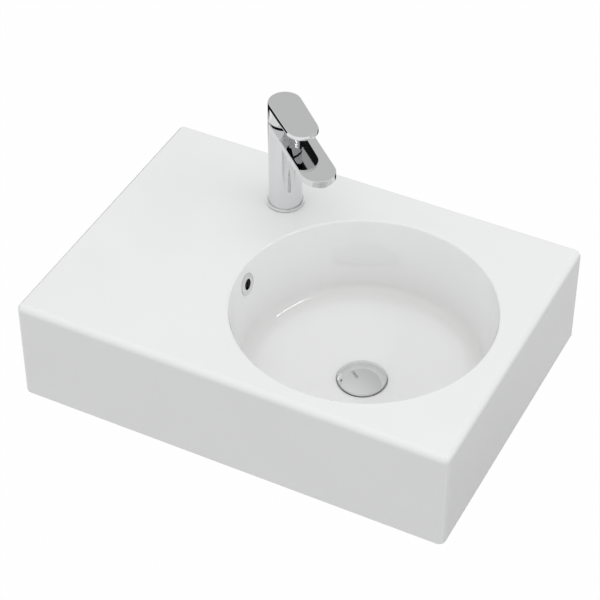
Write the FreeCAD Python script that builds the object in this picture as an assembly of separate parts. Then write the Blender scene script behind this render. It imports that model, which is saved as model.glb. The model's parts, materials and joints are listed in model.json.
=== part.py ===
import FreeCAD, Part
import math
import os

# A wall-hung ceramic basin with a shelf on the left, a round bowl on the right, a single-lever tap and a
# press-to-close waste. The origin is midway between the two wall bolts, on the wall plane. +X is right, the
# wall is at Y = 0 and the basin reaches towards -Y, +Z is up. Sizes are millimetres, angles degrees.

# Ceramic block
BASIN_WIDTH = 615.0
BASIN_DEPTH = 435.0
BASIN_HEIGHT = 153.5
APRON_WALL = 12.0
DECK_THICKNESS = 14.0
EDGE_ROUND = 9.5
FOOT_ROUND = 2.0
CAVITY_ROUND = 8.0

# Wall fixing: two bolt holes through thickened pads of the back wall
BOLT_SPACING = 280.0
BOLT_HEIGHT = 95.0
BOLT_HOLE_RADIUS = 11.0
BOLT_PAD_RADIUS = 26.0
BOLT_PAD_DEPTH = 20.0

# Bowl: a leaning wall, a tight corner and a dished floor that falls to the waste
BOWL_X = 97.5
BOWL_FROM_WALL = 232.0
BOWL_RADIUS = 172.5
BOWL_DEPTH = 129.0
BOWL_WALL = 11.5
WALL_LEAN = 6.0
FLOOR_SLOPE = 7.0
FLOOR_CORNER = 22.0
RIM_ROUND = 5.0

# Waste seat in the bowl's floor
RECESS_RADIUS = 37.0
RECESS_DEPTH = 4.0
WASTE_HOLE_RADIUS = 23.0
BOSS_RADIUS = 42.0
BOSS_THICKNESS = 19.5

# Overflow: a ringed hole in the bowl's left wall and a cast duct that leads down to the waste
OVERFLOW_DROP = 29.0
OVERFLOW_HOLE_RADIUS = 11.0
OVERFLOW_RING_RADIUS = 15.6
OVERFLOW_RING_THICKNESS = 1.6
OVERFLOW_RING_BORE = 7.6
OVERFLOW_SLEEVE_LENGTH = 8.0
OVERFLOW_CLEARANCE = 0.4
DUCT_WIDTH = 40.0
DUCT_DEPTH = 14.0
DUCT_WALL = 7.0
DUCT_BEND = 18.0
DUCT_OUTLET_HEIGHT = 7.0
DUCT_OUTLET_WIDTH = 26.0

# Tap seat in the deck
TAP_X = -92.9
TAP_FROM_WALL = 84.2
TAP_HEADING = -41.5
TAP_HOLE_RADIUS = 17.5
TAP_PAD_RADIUS = 40.0
TAP_PAD_THICKNESS = 18.0

# Waste fitting
FLANGE_RADIUS = 31.5
FLANGE_THICKNESS = 2.2
FLANGE_SEAL_THICKNESS = 1.5
FLANGE_SEAT_RADIUS = 22.0
TAIL_RADIUS = 20.95
TAIL_WALL = 2.5
TAIL_LENGTH = 68.0
TAIL_END_LENGTH = 27.0
TAIL_GROOVE_WIDTH = 2.5
TAIL_GROOVE_DEPTH = 0.8
TAIL_SLOT_COUNT = 4
TAIL_SLOT_WIDTH = 14.0
CONE_SEAL_THICKNESS = 5.0
CONE_SEAL_RADIUS = 31.0
SLIP_WASHER_THICKNESS = 1.5
BACK_NUT_FLANGE = 3.0
BACK_NUT_HEIGHT = 10.0
BACK_NUT_ACROSS_FLATS = 52.0
THREAD_CLEARANCE = 0.05

# Press mechanism and cover of the waste
COVER_RADIUS = 32.0
COVER_GAP = 1.6
COVER_EDGE = 1.5
COVER_RISE = 2.4
COVER_SKIN = 1.6
COVER_TRAVEL = 8.0
PLUG_RADIUS = 15.0
PLUG_LIP = 1.2
COVER_SEAL_THICKNESS = 2.4
SEAL_CLEARANCE = 0.3
STEM_RADIUS = 3.0
STEM_FIT = 0.08
STEM_COLLAR_RADIUS = 4.6
STEM_COLLAR_HEIGHT = 4.0
BAR_DROP = 24.0
BAR_HEIGHT = 6.0
BAR_WIDTH = 4.0
BAR_HUB_RADIUS = 9.0
PRESS_BARREL_RADIUS = 6.0
PRESS_FLANGE_RADIUS = 8.5
PRESS_FLANGE_THICKNESS = 3.0
PRESS_LID = 3.0
PRESS_CHAMBER_RADIUS = 4.9
PRESS_SPRING_SPACE = 19.0
PRESS_FLOOR = 2.0
SPRING_WIRE = 0.9
SPRING_TURNS = 6
SPRING_STEPS = 14
SPRING_SIDES = 8

# Tap body, heights above the deck
TAP_HEIGHT = 139.4
TAP_BODY_RADIUS = 23.1
TAP_BODY_WALL = 3.2
BASE_RING_RADIUS = 25.8
BASE_RING_HEIGHT = 4.0
BASE_RING_FLOOR = 1.4
BASE_SEAL_THICKNESS = 0.8
SPIGOT_LENGTH = 6.0
BASE_PLATE = 10.0
SEAT_PLATE = 7.0
CHROME_ROUND = 0.8
FIT_GAP = 0.15

# Spout
SPOUT_REACH = 141.5
SPOUT_THICKNESS = 9.6
SPOUT_ROOT = 9.0
SPOUT_ROOF = 3.0
CHANNEL_WIDTH = 10.0
CHANNEL_HEIGHT = 4.5

# Outlet under the spout's tip
AERATOR_SETBACK = 14.0
AERATOR_RADIUS = 10.8
AERATOR_WALL = 1.8
AERATOR_DEPTH = 4.0
AERATOR_PROUD = 4.0
AERATOR_LEDGE = 1.5
AERATOR_WASHER = 1.5
AERATOR_PITCH = 3.0
AERATOR_HOLE = 2.0

# Inlets and fixing under the deck
INLET_FORWARD = 4.5
INLET_SIDE = 7.5
INLET_RADIUS = 4.5
INLET_START = 1.0
INLET_DEPTH = 10.0
INLET_RELIEF_RADIUS = 5.3
WATERWAY_RADIUS = 3.2
WATERWAY_WALL = 2.4
STUD_BACK = 10.5
STUD_RADIUS = 4.0
STUD_LENGTH = 70.0
HORSESHOE_RADIUS = 25.0
HORSESHOE_SLOT = 28.0
RUBBER_THICKNESS = 3.0
STEEL_THICKNESS = 2.5
TAP_NUT_ACROSS_FLATS = 13.0
TAP_NUT_HEIGHT = 9.0

# Mixing cartridge
CARTRIDGE_RADIUS = 17.3
CARTRIDGE_WALL = 1.7
CARTRIDGE_ANNULUS = 1.5
COLLAR_THICKNESS = 3.0
NUT_RADIUS = 20.2
NUT_HEIGHT = 8.0
NUT_RECESS = 0.6
NUT_NOTCH = 4.0
NECK_RADIUS = 13.6
NECK_WALL = 3.1
NECK_RISE = 6.0
ROTOR_FIT = 0.08
ROTOR_FLANGE_DROP = 8.0
ROTOR_FLANGE_THICKNESS = 2.5
ROTOR_SLOT_LENGTH = 17.6
ROTOR_LUG_LENGTH = 3.5
ROTOR_LUG_WIDTH = 2.4
RUN_GAP = 0.3
DISC_THICKNESS = 4.0
DISC_FILM = 0.05
MOVING_DISC_RADIUS = 11.4
CARRIER_RADIUS = 12.2
POCKET_FLOOR = 1.7
CARTRIDGE_BASE_FLANGE = 2.0
CARTRIDGE_BASE_PLUG = 4.0
PORT_SEAL_WIDTH = 1.5
PORT_SEAL_HEIGHT = 2.0

# Lever: it turns about the tap's axis and lifts about a pivot inside the cartridge
LIFT_RANGE = 20.0
PIVOT_DEPTH = 3.0
STEM_ARM = 12.5
BALL_RADIUS = 3.4
BALL_CLEARANCE = 0.45
STEM_SQUARE = 8.0
STEM_WAIST = 2.6
PIN_RADIUS = 1.5
PIN_FIT = 0.05
LEVER_RISE = 29.5
LEVER_THICKNESS = 5.4
LEVER_REACH = 82.6
LEVER_RADIUS = 23.0
LEVER_TAPER = 1.1
LEVER_CROWN = 0.7
HUB_WALL = 1.9
HUB_ROOF = 4.0
HUB_GAP = 2.2
LIFT_CLEARANCE = 0.5
SOCKET_WALL = 4.0
SOCKET_DEPTH = 11.0
DOME_RADIUS = 20.0
DOME_SKIN = 1.0
DOME_MOUTH = 14.6
SCREW_RADIUS = 2.5
SCREW_LENGTH = 6.0
SCREW_BELOW_ROOF = 3.2
LEVER_PLUG_RADIUS = 3.4
LEVER_PLUG_DEPTH = 2.5

# Heights in the part's own frame, worked out from the sizes above
DECK_Z = BASIN_HEIGHT - BOLT_HEIGHT
FOOT_Z = -BOLT_HEIGHT
SEAT_Z = DECK_Z - BOWL_DEPTH - RECESS_DEPTH

# Heights in the waste's frame, where the ceramic seat is zero
FLANGE_BOTTOM = FLANGE_SEAL_THICKNESS
FLANGE_TOP = FLANGE_BOTTOM + FLANGE_THICKNESS
COVER_BOTTOM = FLANGE_TOP + COVER_GAP
PLUG_BOTTOM = COVER_BOTTOM - COVER_SEAL_THICKNESS - PLUG_LIP
TAIL_BORE = TAIL_RADIUS - TAIL_WALL
TAIL_BOTTOM = FLANGE_BOTTOM - TAIL_LENGTH
BAR_TOP = -BAR_DROP
PRESS_FLANGE_TOP = BAR_TOP + PRESS_FLANGE_THICKNESS
COLLAR_TOP = PRESS_FLANGE_TOP
PRESS_CEILING = COLLAR_TOP + COVER_TRAVEL + SEAL_CLEARANCE
PRESS_TOP = PRESS_CEILING + PRESS_LID
SPRING_TOP = COLLAR_TOP - STEM_COLLAR_HEIGHT
SPRING_BOTTOM = SPRING_TOP - PRESS_SPRING_SPACE
PRESS_BOTTOM = SPRING_BOTTOM - PRESS_FLOOR

# Heights in the tap's frame, where the deck is zero
RING_SEAT = BASE_SEAL_THICKNESS + BASE_RING_FLOOR
SPOUT_BOTTOM = TAP_HEIGHT - SPOUT_THICKNESS
PIVOT_Z = TAP_HEIGHT - PIVOT_DEPTH
BALL_Z = PIVOT_Z - STEM_ARM
NUT_TOP = TAP_HEIGHT - NUT_RECESS
NUT_BOTTOM = NUT_TOP - NUT_HEIGHT
COLLAR_BOTTOM = NUT_BOTTOM - COLLAR_THICKNESS
NECK_TOP = TAP_HEIGHT + NECK_RISE
ROTOR_FLANGE_TOP = PIVOT_Z - ROTOR_FLANGE_DROP
ROTOR_FLANGE_BOTTOM = ROTOR_FLANGE_TOP - ROTOR_FLANGE_THICKNESS
CHAMBER_TOP = ROTOR_FLANGE_TOP + RUN_GAP
CARRIER_TOP = ROTOR_FLANGE_BOTTOM - RUN_GAP
POCKET_BOTTOM = BALL_Z - BALL_RADIUS - RUN_GAP
CARRIER_BOTTOM = POCKET_BOTTOM - POCKET_FLOOR
CARRIER_STEP = ROTOR_FLANGE_BOTTOM - ROTOR_LUG_LENGTH - RUN_GAP
MOVING_DISC_BOTTOM = CARRIER_BOTTOM - DISC_THICKNESS
FIXED_DISC_TOP = MOVING_DISC_BOTTOM - DISC_FILM
FIXED_DISC_BOTTOM = FIXED_DISC_TOP - DISC_THICKNESS
CARTRIDGE_FLANGE_TOP = FIXED_DISC_BOTTOM - CARTRIDGE_BASE_PLUG
CARTRIDGE_BOTTOM = CARTRIDGE_FLANGE_TOP - CARTRIDGE_BASE_FLANGE
LEVER_TOP = TAP_HEIGHT + LEVER_RISE
LEVER_BOTTOM = LEVER_TOP - LEVER_THICKNESS
HUB_BOTTOM = TAP_HEIGHT + HUB_GAP
HUB_CEILING = LEVER_TOP - HUB_ROOF
SOCKET_BOTTOM = HUB_CEILING - SOCKET_DEPTH
SCREW_Z = HUB_CEILING - SCREW_BELOW_ROOF - SCREW_RADIUS

# Radii and offsets that follow from the sizes above
SPIGOT_RADIUS = TAP_HOLE_RADIUS - 3 * FIT_GAP
CAVITY_RADIUS = CARTRIDGE_RADIUS + CARTRIDGE_ANNULUS
CHAMBER_RADIUS = CARTRIDGE_RADIUS - CARTRIDGE_WALL
NECK_BORE = NECK_RADIUS - NECK_WALL
ROTOR_RADIUS = NECK_BORE - ROTOR_FIT
ROTOR_FLANGE_RADIUS = CHAMBER_RADIUS - 2 * RUN_GAP
ROTOR_SLOT_WIDTH = STEM_SQUARE + 2 * RUN_GAP
HUB_BORE = LEVER_RADIUS - HUB_WALL
DISC_TRAVEL = STEM_ARM * math.radians(LIFT_RANGE)
DISC_OFFSET = -DISC_TRAVEL / 2
AERATOR_AT = SPOUT_REACH - AERATOR_SETBACK
OVERSHOOT = 5.0


def vec(x, y, z):
    """A point or a direction."""
    return FreeCAD.Vector(x, y, z)


def cylinder(radius, low, high, x=0.0, y=0.0):
    """An upright cylinder between two heights."""
    return Part.makeCylinder(radius, high - low, vec(x, y, low))


def ring(outer, inner, low, high):
    """An upright ring between two heights, about the Z axis."""
    return cylinder(outer, low, high).cut(cylinder(inner, low - OVERSHOOT, high + OVERSHOOT))


def block(x_low, x_high, y_low, y_high, z_low, z_high):
    """A box given by its six faces."""
    return Part.makeBox(x_high - x_low, y_high - y_low, z_high - z_low, vec(x_low, y_low, z_low))


def polygon(points):
    """A flat face inside a closed run of straight edges."""
    return Part.Face(Part.makePolygon(list(points) + [points[0]]))


def turned(points):
    """A solid of revolution about Z from (radius, height) points."""
    profile = polygon([vec(radius, 0, height) for radius, height in points])
    return profile.revolve(vec(0, 0, 0), vec(0, 0, 1), 360)


def hexagon(across_flats, low, high, x=0.0, y=0.0):
    """An upright six-sided prism."""
    corner = across_flats / math.sqrt(3)
    angles = [math.radians(60 * side) for side in range(6)]
    points = [vec(x + corner * math.cos(a), y + corner * math.sin(a), low) for a in angles]
    return polygon(points).extrude(vec(0, 0, high - low))


def edges_at(shape, height):
    """The edges of a shape that lie wholly at one height."""
    level = [e for e in shape.Edges if abs(e.BoundBox.ZMin - height) < 1e-6]
    return [e for e in level if abs(e.BoundBox.ZMax - height) < 1e-6]


def meet(start, along, other, other_along):
    """Where two lines of the XZ plane cross."""
    gap = other - start
    cross = along.x * other_along.z - along.z * other_along.x
    return start + along * ((gap.x * other_along.z - gap.z * other_along.x) / cross)


def unit(vector):
    """The same direction with length one."""
    return vector / vector.Length


def on_bowl(shape):
    """Moves a shape from the bowl's frame, axis at the deck, into the part."""
    moved = shape.copy()
    moved.translate(vec(BOWL_X, -BOWL_FROM_WALL, DECK_Z))
    return moved


def on_seat(shape):
    """Moves a shape from the waste's frame, axis at the ceramic seat, into the part."""
    moved = shape.copy()
    moved.translate(vec(BOWL_X, -BOWL_FROM_WALL, SEAT_Z))
    return moved


def on_tap(shape):
    """Moves a shape from the tap's frame, +X along the spout and the deck at zero, into the part."""
    moved = shape.copy()
    moved.rotate(vec(0, 0, 0), vec(0, 0, 1), TAP_HEADING)
    moved.translate(vec(TAP_X, -TAP_FROM_WALL, DECK_Z))
    return moved


# Ceramic basin

def rounded_block():
    """The basin's outer block: rounded front corners and top edges, square against the wall."""
    half = BASIN_WIDTH / 2
    outer = block(-half, half, -BASIN_DEPTH, 0, FOOT_Z, DECK_Z)
    soft = []
    for edge in outer.Edges:
        middle = edge.CenterOfMass
        at_wall = abs(middle.y) < 1e-6
        upright = abs(middle.z - (FOOT_Z + DECK_Z) / 2) < 1e-6
        if not at_wall and (upright and middle.y < -BASIN_DEPTH + 1 or abs(middle.z - DECK_Z) < 1e-6):
            soft.append(edge)
    outer = outer.makeFillet(EDGE_ROUND, soft)
    foot = [e for e in edges_at(outer, FOOT_Z) if e.CenterOfMass.y < -1e-6]
    return outer.makeFillet(FOOT_ROUND, foot)


def underside_cavity():
    """The hollow under the deck, between the apron walls."""
    half = BASIN_WIDTH / 2 - APRON_WALL
    front = -BASIN_DEPTH + APRON_WALL
    roof = DECK_Z - DECK_THICKNESS
    hollow = block(-half, half, front, -APRON_WALL, FOOT_Z - OVERSHOOT, roof)
    soft = [e for e in hollow.Edges if e.CenterOfMass.z > FOOT_Z]
    return hollow.makeFillet(CAVITY_ROUND, soft)


def bowl_corner():
    """The bowl's wall and floor directions, their rounded corner and the foot of the rim's rounding."""
    lean = math.radians(WALL_LEAN)
    slope = math.radians(FLOOR_SLOPE)
    up_wall = vec(math.sin(lean), 0, math.cos(lean))
    to_bowl = vec(-math.cos(lean), 0, math.sin(lean))
    along_floor = vec(-math.cos(slope), 0, -math.sin(slope))
    rim_centre = vec(BOWL_RADIUS + RIM_ROUND * math.cos(lean), 0, -RIM_ROUND)
    wall_top = rim_centre + to_bowl * RIM_ROUND
    floor_edge = vec(RECESS_RADIUS, 0, -BOWL_DEPTH)
    corner = meet(wall_top, up_wall, floor_edge, along_floor)
    half_angle = up_wall.getAngle(along_floor) / 2
    reach = FLOOR_CORNER / math.tan(half_angle)
    inward = unit(up_wall + along_floor)
    centre = corner + inward * (FLOOR_CORNER / math.sin(half_angle))
    return {
        "up_wall": up_wall,
        "to_bowl": to_bowl,
        "along_floor": along_floor,
        "rim_centre": rim_centre,
        "wall_top": wall_top,
        "floor_edge": floor_edge,
        "wall_foot": corner + up_wall * reach,
        "floor_end": corner + along_floor * reach,
        "centre": centre,
        "inward": inward,
    }


def bowl_void():
    """The space that the bowl, the waste's recess and the waste's hole take out of the ceramic."""
    c = bowl_corner()
    mouth = c["rim_centre"] + vec(0, 0, RIM_ROUND)
    rim_middle = c["rim_centre"] + unit(vec(0, 0, 1) + c["to_bowl"]) * RIM_ROUND
    corner_middle = c["centre"] - c["inward"] * FLOOR_CORNER
    seat = -BOWL_DEPTH - RECESS_DEPTH
    recess_foot = vec(RECESS_RADIUS - RECESS_DEPTH, 0, seat)
    hole_top = vec(WASTE_HOLE_RADIUS, 0, seat)
    hole_bottom = vec(WASTE_HOLE_RADIUS, 0, seat - BOSS_THICKNESS - OVERSHOOT)
    edges = [
        Part.makePolygon([vec(0, 0, OVERSHOOT), mouth + vec(0, 0, OVERSHOOT), mouth]),
        Part.Arc(mouth, rim_middle, c["wall_top"]).toShape(),
        Part.makeLine(c["wall_top"], c["wall_foot"]),
        Part.Arc(c["wall_foot"], corner_middle, c["floor_end"]).toShape(),
        Part.makePolygon([c["floor_end"], c["floor_edge"], recess_foot, hole_top, hole_bottom]),
        Part.makePolygon([hole_bottom, vec(0, 0, hole_bottom.z), vec(0, 0, OVERSHOOT)]),
    ]
    pieces = [edge for part in edges for edge in part.Edges]
    return on_bowl(Part.Face(Part.Wire(pieces)).revolve(vec(0, 0, 0), vec(0, 0, 1), 360))


def bowl_shell():
    """The bowl's outside as a solid, a wall thickness larger than the bowl, with the boss under it."""
    c = bowl_corner()
    grow = (FLOOR_CORNER + BOWL_WALL) / FLOOR_CORNER
    wall_foot = c["centre"] + (c["wall_foot"] - c["centre"]) * grow
    floor_end = c["centre"] + (c["floor_end"] - c["centre"]) * grow
    corner_middle = c["centre"] - c["inward"] * (FLOOR_CORNER + BOWL_WALL)
    level = vec(1, 0, 0)
    wall_head = meet(wall_foot, c["up_wall"], vec(0, 0, -DECK_THICKNESS / 2), level)
    boss_head = meet(floor_end, c["along_floor"], vec(BOSS_RADIUS, 0, 0), vec(0, 0, 1))
    boss_foot = vec(BOSS_RADIUS, 0, -BOWL_DEPTH - RECESS_DEPTH - BOSS_THICKNESS)
    edges = [
        Part.makePolygon([vec(0, 0, wall_head.z), wall_head, wall_foot]),
        Part.Arc(wall_foot, corner_middle, floor_end).toShape(),
        Part.makePolygon([floor_end, boss_head, boss_foot, vec(0, 0, boss_foot.z), vec(0, 0, wall_head.z)]),
    ]
    pieces = [edge for part in edges for edge in part.Edges]
    return on_bowl(Part.Face(Part.Wire(pieces)).revolve(vec(0, 0, 0), vec(0, 0, 1), 360))


def overflow_point():
    """The overflow's centre on the bowl's wall and the direction out of the wall, in the bowl's frame."""
    c = bowl_corner()
    on_wall = meet(c["wall_top"], c["up_wall"], vec(0, 0, -OVERFLOW_DROP), vec(1, 0, 0))
    centre = vec(-on_wall.x, 0, on_wall.z)
    outward = vec(-c["to_bowl"].x, 0, c["to_bowl"].z)
    return centre, outward


def overflow_cylinder(radius, low, high):
    """A cylinder on the overflow's axis, between two distances from the bowl's wall towards the bowl."""
    centre, outward = overflow_point()
    return on_bowl(Part.makeCylinder(radius, high - low, centre + outward * low, outward))


def duct(grow):
    """The overflow duct's inside, or its outside when grown by a wall: a chute that bends to the waste."""
    centre, outward = overflow_point()
    back = centre.x - (BOWL_WALL + DUCT_DEPTH) * outward.x - grow
    floor = -BOWL_DEPTH - RECESS_DEPTH - BOSS_THICKNESS + DUCT_WALL - grow
    bend = DUCT_BEND + grow
    half = DUCT_WIDTH / 2 + grow
    bend_start = vec(back, -half, floor + bend)
    bend_middle = vec(back + bend * (1 - math.sqrt(0.5)), -half, floor + bend * (1 - math.sqrt(0.5)))
    bend_end = vec(back + bend, -half, floor)
    roof = -DECK_THICKNESS
    edges = [
        Part.makeLine(vec(back, -half, roof), bend_start),
        Part.Arc(bend_start, bend_middle, bend_end).toShape(),
        Part.makeLine(bend_end, vec(0, -half, floor)),
        Part.makeLine(vec(0, -half, floor), vec(0, -half, roof)),
        Part.makeLine(vec(0, -half, roof), vec(back, -half, roof)),
    ]
    return on_bowl(Part.Face(Part.Wire(edges)).extrude(vec(0, 2 * half, 0)))


def duct_void():
    """The water way from behind the overflow ring, down the chute and into the side of the waste's hole."""
    way = duct(0).cut(bowl_shell())
    floor = SEAT_Z - BOSS_THICKNESS + DUCT_WALL
    half = DUCT_OUTLET_WIDTH / 2
    mouth = BOWL_X - BOSS_RADIUS - DUCT_WALL
    near = -half - BOWL_FROM_WALL
    far = half - BOWL_FROM_WALL
    outlet = block(mouth, BOWL_X, near, far, floor, floor + DUCT_OUTLET_HEIGHT)
    return way.fuse(outlet)


def basin_body():
    """The ceramic: a hollow block with the bowl hung in it, pads at the tap and wall bolts, and the duct."""
    pad_low = DECK_Z - TAP_PAD_THICKNESS
    pad_high = DECK_Z - DECK_THICKNESS / 2
    tap_pad = cylinder(TAP_PAD_RADIUS, pad_low, pad_high, TAP_X, -TAP_FROM_WALL)
    tap_hole = cylinder(TAP_HOLE_RADIUS, FOOT_Z, DECK_Z + OVERSHOOT, TAP_X, -TAP_FROM_WALL)
    solids = [bowl_shell(), duct(DUCT_WALL), tap_pad]
    spaces = [bowl_void(), duct_void(), tap_hole]
    spaces.append(overflow_cylinder(OVERFLOW_HOLE_RADIUS, -BOWL_WALL - OVERSHOOT, OVERSHOOT))
    spaces.append(overflow_cylinder(OVERFLOW_RING_RADIUS + OVERFLOW_CLEARANCE, 0, OVERSHOOT))
    forward = vec(0, -1, 0)
    pad_depth = BOLT_PAD_DEPTH - APRON_WALL / 2
    hole_depth = BOLT_PAD_DEPTH + 2 * OVERSHOOT
    for side in (-1, 1):
        place = vec(side * BOLT_SPACING / 2, -APRON_WALL / 2, 0)
        solids.append(Part.makeCylinder(BOLT_PAD_RADIUS, pad_depth, place, forward))
        hole_start = vec(place.x, OVERSHOOT, 0)
        spaces.append(Part.makeCylinder(BOLT_HOLE_RADIUS, hole_depth, hole_start, forward))
    shell = rounded_block().cut(underside_cavity())
    return shell.fuse(solids).cut(spaces).removeSplitter()


def overflow_ring():
    """The flat chrome ring with a sleeve that plugs into the overflow hole."""
    flange = overflow_cylinder(OVERFLOW_RING_RADIUS, 0, OVERFLOW_RING_THICKNESS)
    sleeve = overflow_cylinder(OVERFLOW_HOLE_RADIUS - OVERFLOW_CLEARANCE, -OVERFLOW_SLEEVE_LENGTH, 0)
    bore = overflow_cylinder(OVERFLOW_RING_BORE, -OVERFLOW_SLEEVE_LENGTH - OVERSHOOT, OVERSHOOT)
    whole = flange.fuse(sleeve).cut(bore).removeSplitter()
    centre, outward = overflow_point()
    face = on_bowl(Part.Vertex(centre + outward * OVERFLOW_RING_THICKNESS)).Point
    rims = [e for e in whole.Edges if len(e.Vertexes) == 1]
    front = [e for e in rims if abs((e.CenterOfMass - face).dot(outward)) < 1e-4]
    return whole.makeFillet(OVERFLOW_RING_THICKNESS / 3, front)


# Waste fitting

def waste_body():
    """The flanged tube with overflow slots and the bar that carries the press mechanism."""
    groove_low = TAIL_BOTTOM + TAIL_END_LENGTH
    groove_high = groove_low + TAIL_GROOVE_WIDTH
    groove_radius = TAIL_RADIUS - TAIL_GROOVE_DEPTH
    tube = turned([
        (TAIL_BORE, TAIL_BOTTOM),
        (TAIL_RADIUS, TAIL_BOTTOM),
        (TAIL_RADIUS, groove_low),
        (groove_radius, groove_low),
        (groove_radius, groove_high),
        (TAIL_RADIUS, groove_high),
        (TAIL_RADIUS, FLANGE_BOTTOM),
        (FLANGE_RADIUS, FLANGE_BOTTOM),
        (FLANGE_RADIUS, FLANGE_TOP - CHROME_ROUND),
        (FLANGE_RADIUS - CHROME_ROUND, FLANGE_TOP),
        (FLANGE_SEAT_RADIUS, FLANGE_TOP),
        (TAIL_BORE, 0),
    ])
    bar_bottom = BAR_TOP - BAR_HEIGHT
    half = BAR_WIDTH / 2
    reach = TAIL_BORE + TAIL_WALL / 2
    bar = cylinder(BAR_HUB_RADIUS, bar_bottom, BAR_TOP)
    bar = bar.fuse([block(-reach, reach, -half, half, bar_bottom, BAR_TOP),
                    block(-half, half, -reach, reach, bar_bottom, BAR_TOP)])
    bar_bore = PRESS_BARREL_RADIUS + THREAD_CLEARANCE
    bar = bar.cut(cylinder(bar_bore, bar_bottom - OVERSHOOT, BAR_TOP + OVERSHOOT))
    slot_low = -BOSS_THICKNESS + DUCT_WALL
    slot = block(0, TAIL_RADIUS + OVERSHOOT, -TAIL_SLOT_WIDTH / 2, TAIL_SLOT_WIDTH / 2,
                 slot_low, slot_low + DUCT_OUTLET_HEIGHT)
    slots = []
    for index in range(TAIL_SLOT_COUNT):
        turned_slot = slot.copy()
        turned_slot.rotate(vec(0, 0, 0), vec(0, 0, 1), index * 360 / TAIL_SLOT_COUNT)
        slots.append(turned_slot)
    return on_seat(tube.cut(slots).fuse(bar).removeSplitter())


def waste_flange_seal():
    """The rubber ring between the flange and the ceramic seat."""
    return on_seat(ring(FLANGE_RADIUS - CHROME_ROUND, TAIL_RADIUS + SEAL_CLEARANCE, 0, FLANGE_BOTTOM))


def waste_cone_seal():
    """The rubber ring under the ceramic, narrower towards the nut."""
    low = -BOSS_THICKNESS - CONE_SEAL_THICKNESS
    bore = TAIL_RADIUS + SEAL_CLEARANCE
    waist = CONE_SEAL_RADIUS - CONE_SEAL_THICKNESS / 2
    return on_seat(turned([
        (bore, low),
        (waist, low),
        (CONE_SEAL_RADIUS, -BOSS_THICKNESS),
        (bore, -BOSS_THICKNESS),
    ]))


def waste_slip_washer():
    """The plastic ring that lets the nut turn on the rubber."""
    high = -BOSS_THICKNESS - CONE_SEAL_THICKNESS
    return on_seat(ring(CONE_SEAL_RADIUS, TAIL_RADIUS + SEAL_CLEARANCE, high - SLIP_WASHER_THICKNESS, high))


def waste_back_nut():
    """The flanged hexagon nut that clamps the waste to the ceramic."""
    high = -BOSS_THICKNESS - CONE_SEAL_THICKNESS - SLIP_WASHER_THICKNESS
    low = high - BACK_NUT_HEIGHT
    flange = cylinder(CONE_SEAL_RADIUS, high - BACK_NUT_FLANGE, high)
    nut = hexagon(BACK_NUT_ACROSS_FLATS, low, high).fuse(flange)
    bore = cylinder(TAIL_RADIUS + THREAD_CLEARANCE, low - OVERSHOOT, high + OVERSHOOT)
    return on_seat(nut.cut(bore).removeSplitter())


def press_cartridge():
    """The press mechanism's housing: a barrel with a flange on the bar and a bored lid over its chamber."""
    barrel = cylinder(PRESS_BARREL_RADIUS, PRESS_BOTTOM, BAR_TOP)
    flange = cylinder(PRESS_FLANGE_RADIUS, BAR_TOP, PRESS_FLANGE_TOP)
    tower = cylinder(PRESS_BARREL_RADIUS + TAIL_WALL / 2, PRESS_FLANGE_TOP, PRESS_TOP)
    chamber = cylinder(PRESS_CHAMBER_RADIUS, SPRING_BOTTOM, PRESS_CEILING)
    bore = cylinder(STEM_RADIUS + STEM_FIT, SPRING_BOTTOM, PRESS_TOP + OVERSHOOT)
    return on_seat(barrel.fuse([flange, tower]).cut([chamber, bore]).removeSplitter())


def press_spring():
    """The compression spring under the stem's collar, as one open coil."""
    radius = PRESS_CHAMBER_RADIUS - SPRING_WIRE / 2 - SEAL_CLEARANCE
    low = SPRING_BOTTOM + SPRING_WIRE / 2
    height = SPRING_TOP - SPRING_WIRE / 2 - low
    steps = SPRING_TURNS * SPRING_STEPS
    sections = []
    for step in range(steps + 1):
        turn = 2 * math.pi * step / SPRING_STEPS
        outward = vec(math.cos(turn), math.sin(turn), 0)
        centre = outward * radius + vec(0, 0, low + height * step / steps)
        angles = [2 * math.pi * side / SPRING_SIDES for side in range(SPRING_SIDES)]
        rim = [centre + (outward * math.cos(a) + vec(0, 0, math.sin(a))) * (SPRING_WIRE / 2) for a in angles]
        sections.append(Part.makePolygon(rim + [rim[0]]))
    return on_seat(Part.makeLoft(sections, True, True))


def cover_stem():
    """The plunger: a rod into the cover, with a collar that the lid stops when the cover is up."""
    rod = cylinder(STEM_RADIUS, SPRING_TOP, PLUG_BOTTOM + PLUG_LIP + COVER_SEAL_THICKNESS)
    return on_seat(rod.fuse(cylinder(STEM_COLLAR_RADIUS, SPRING_TOP, COLLAR_TOP)).removeSplitter())


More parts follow.
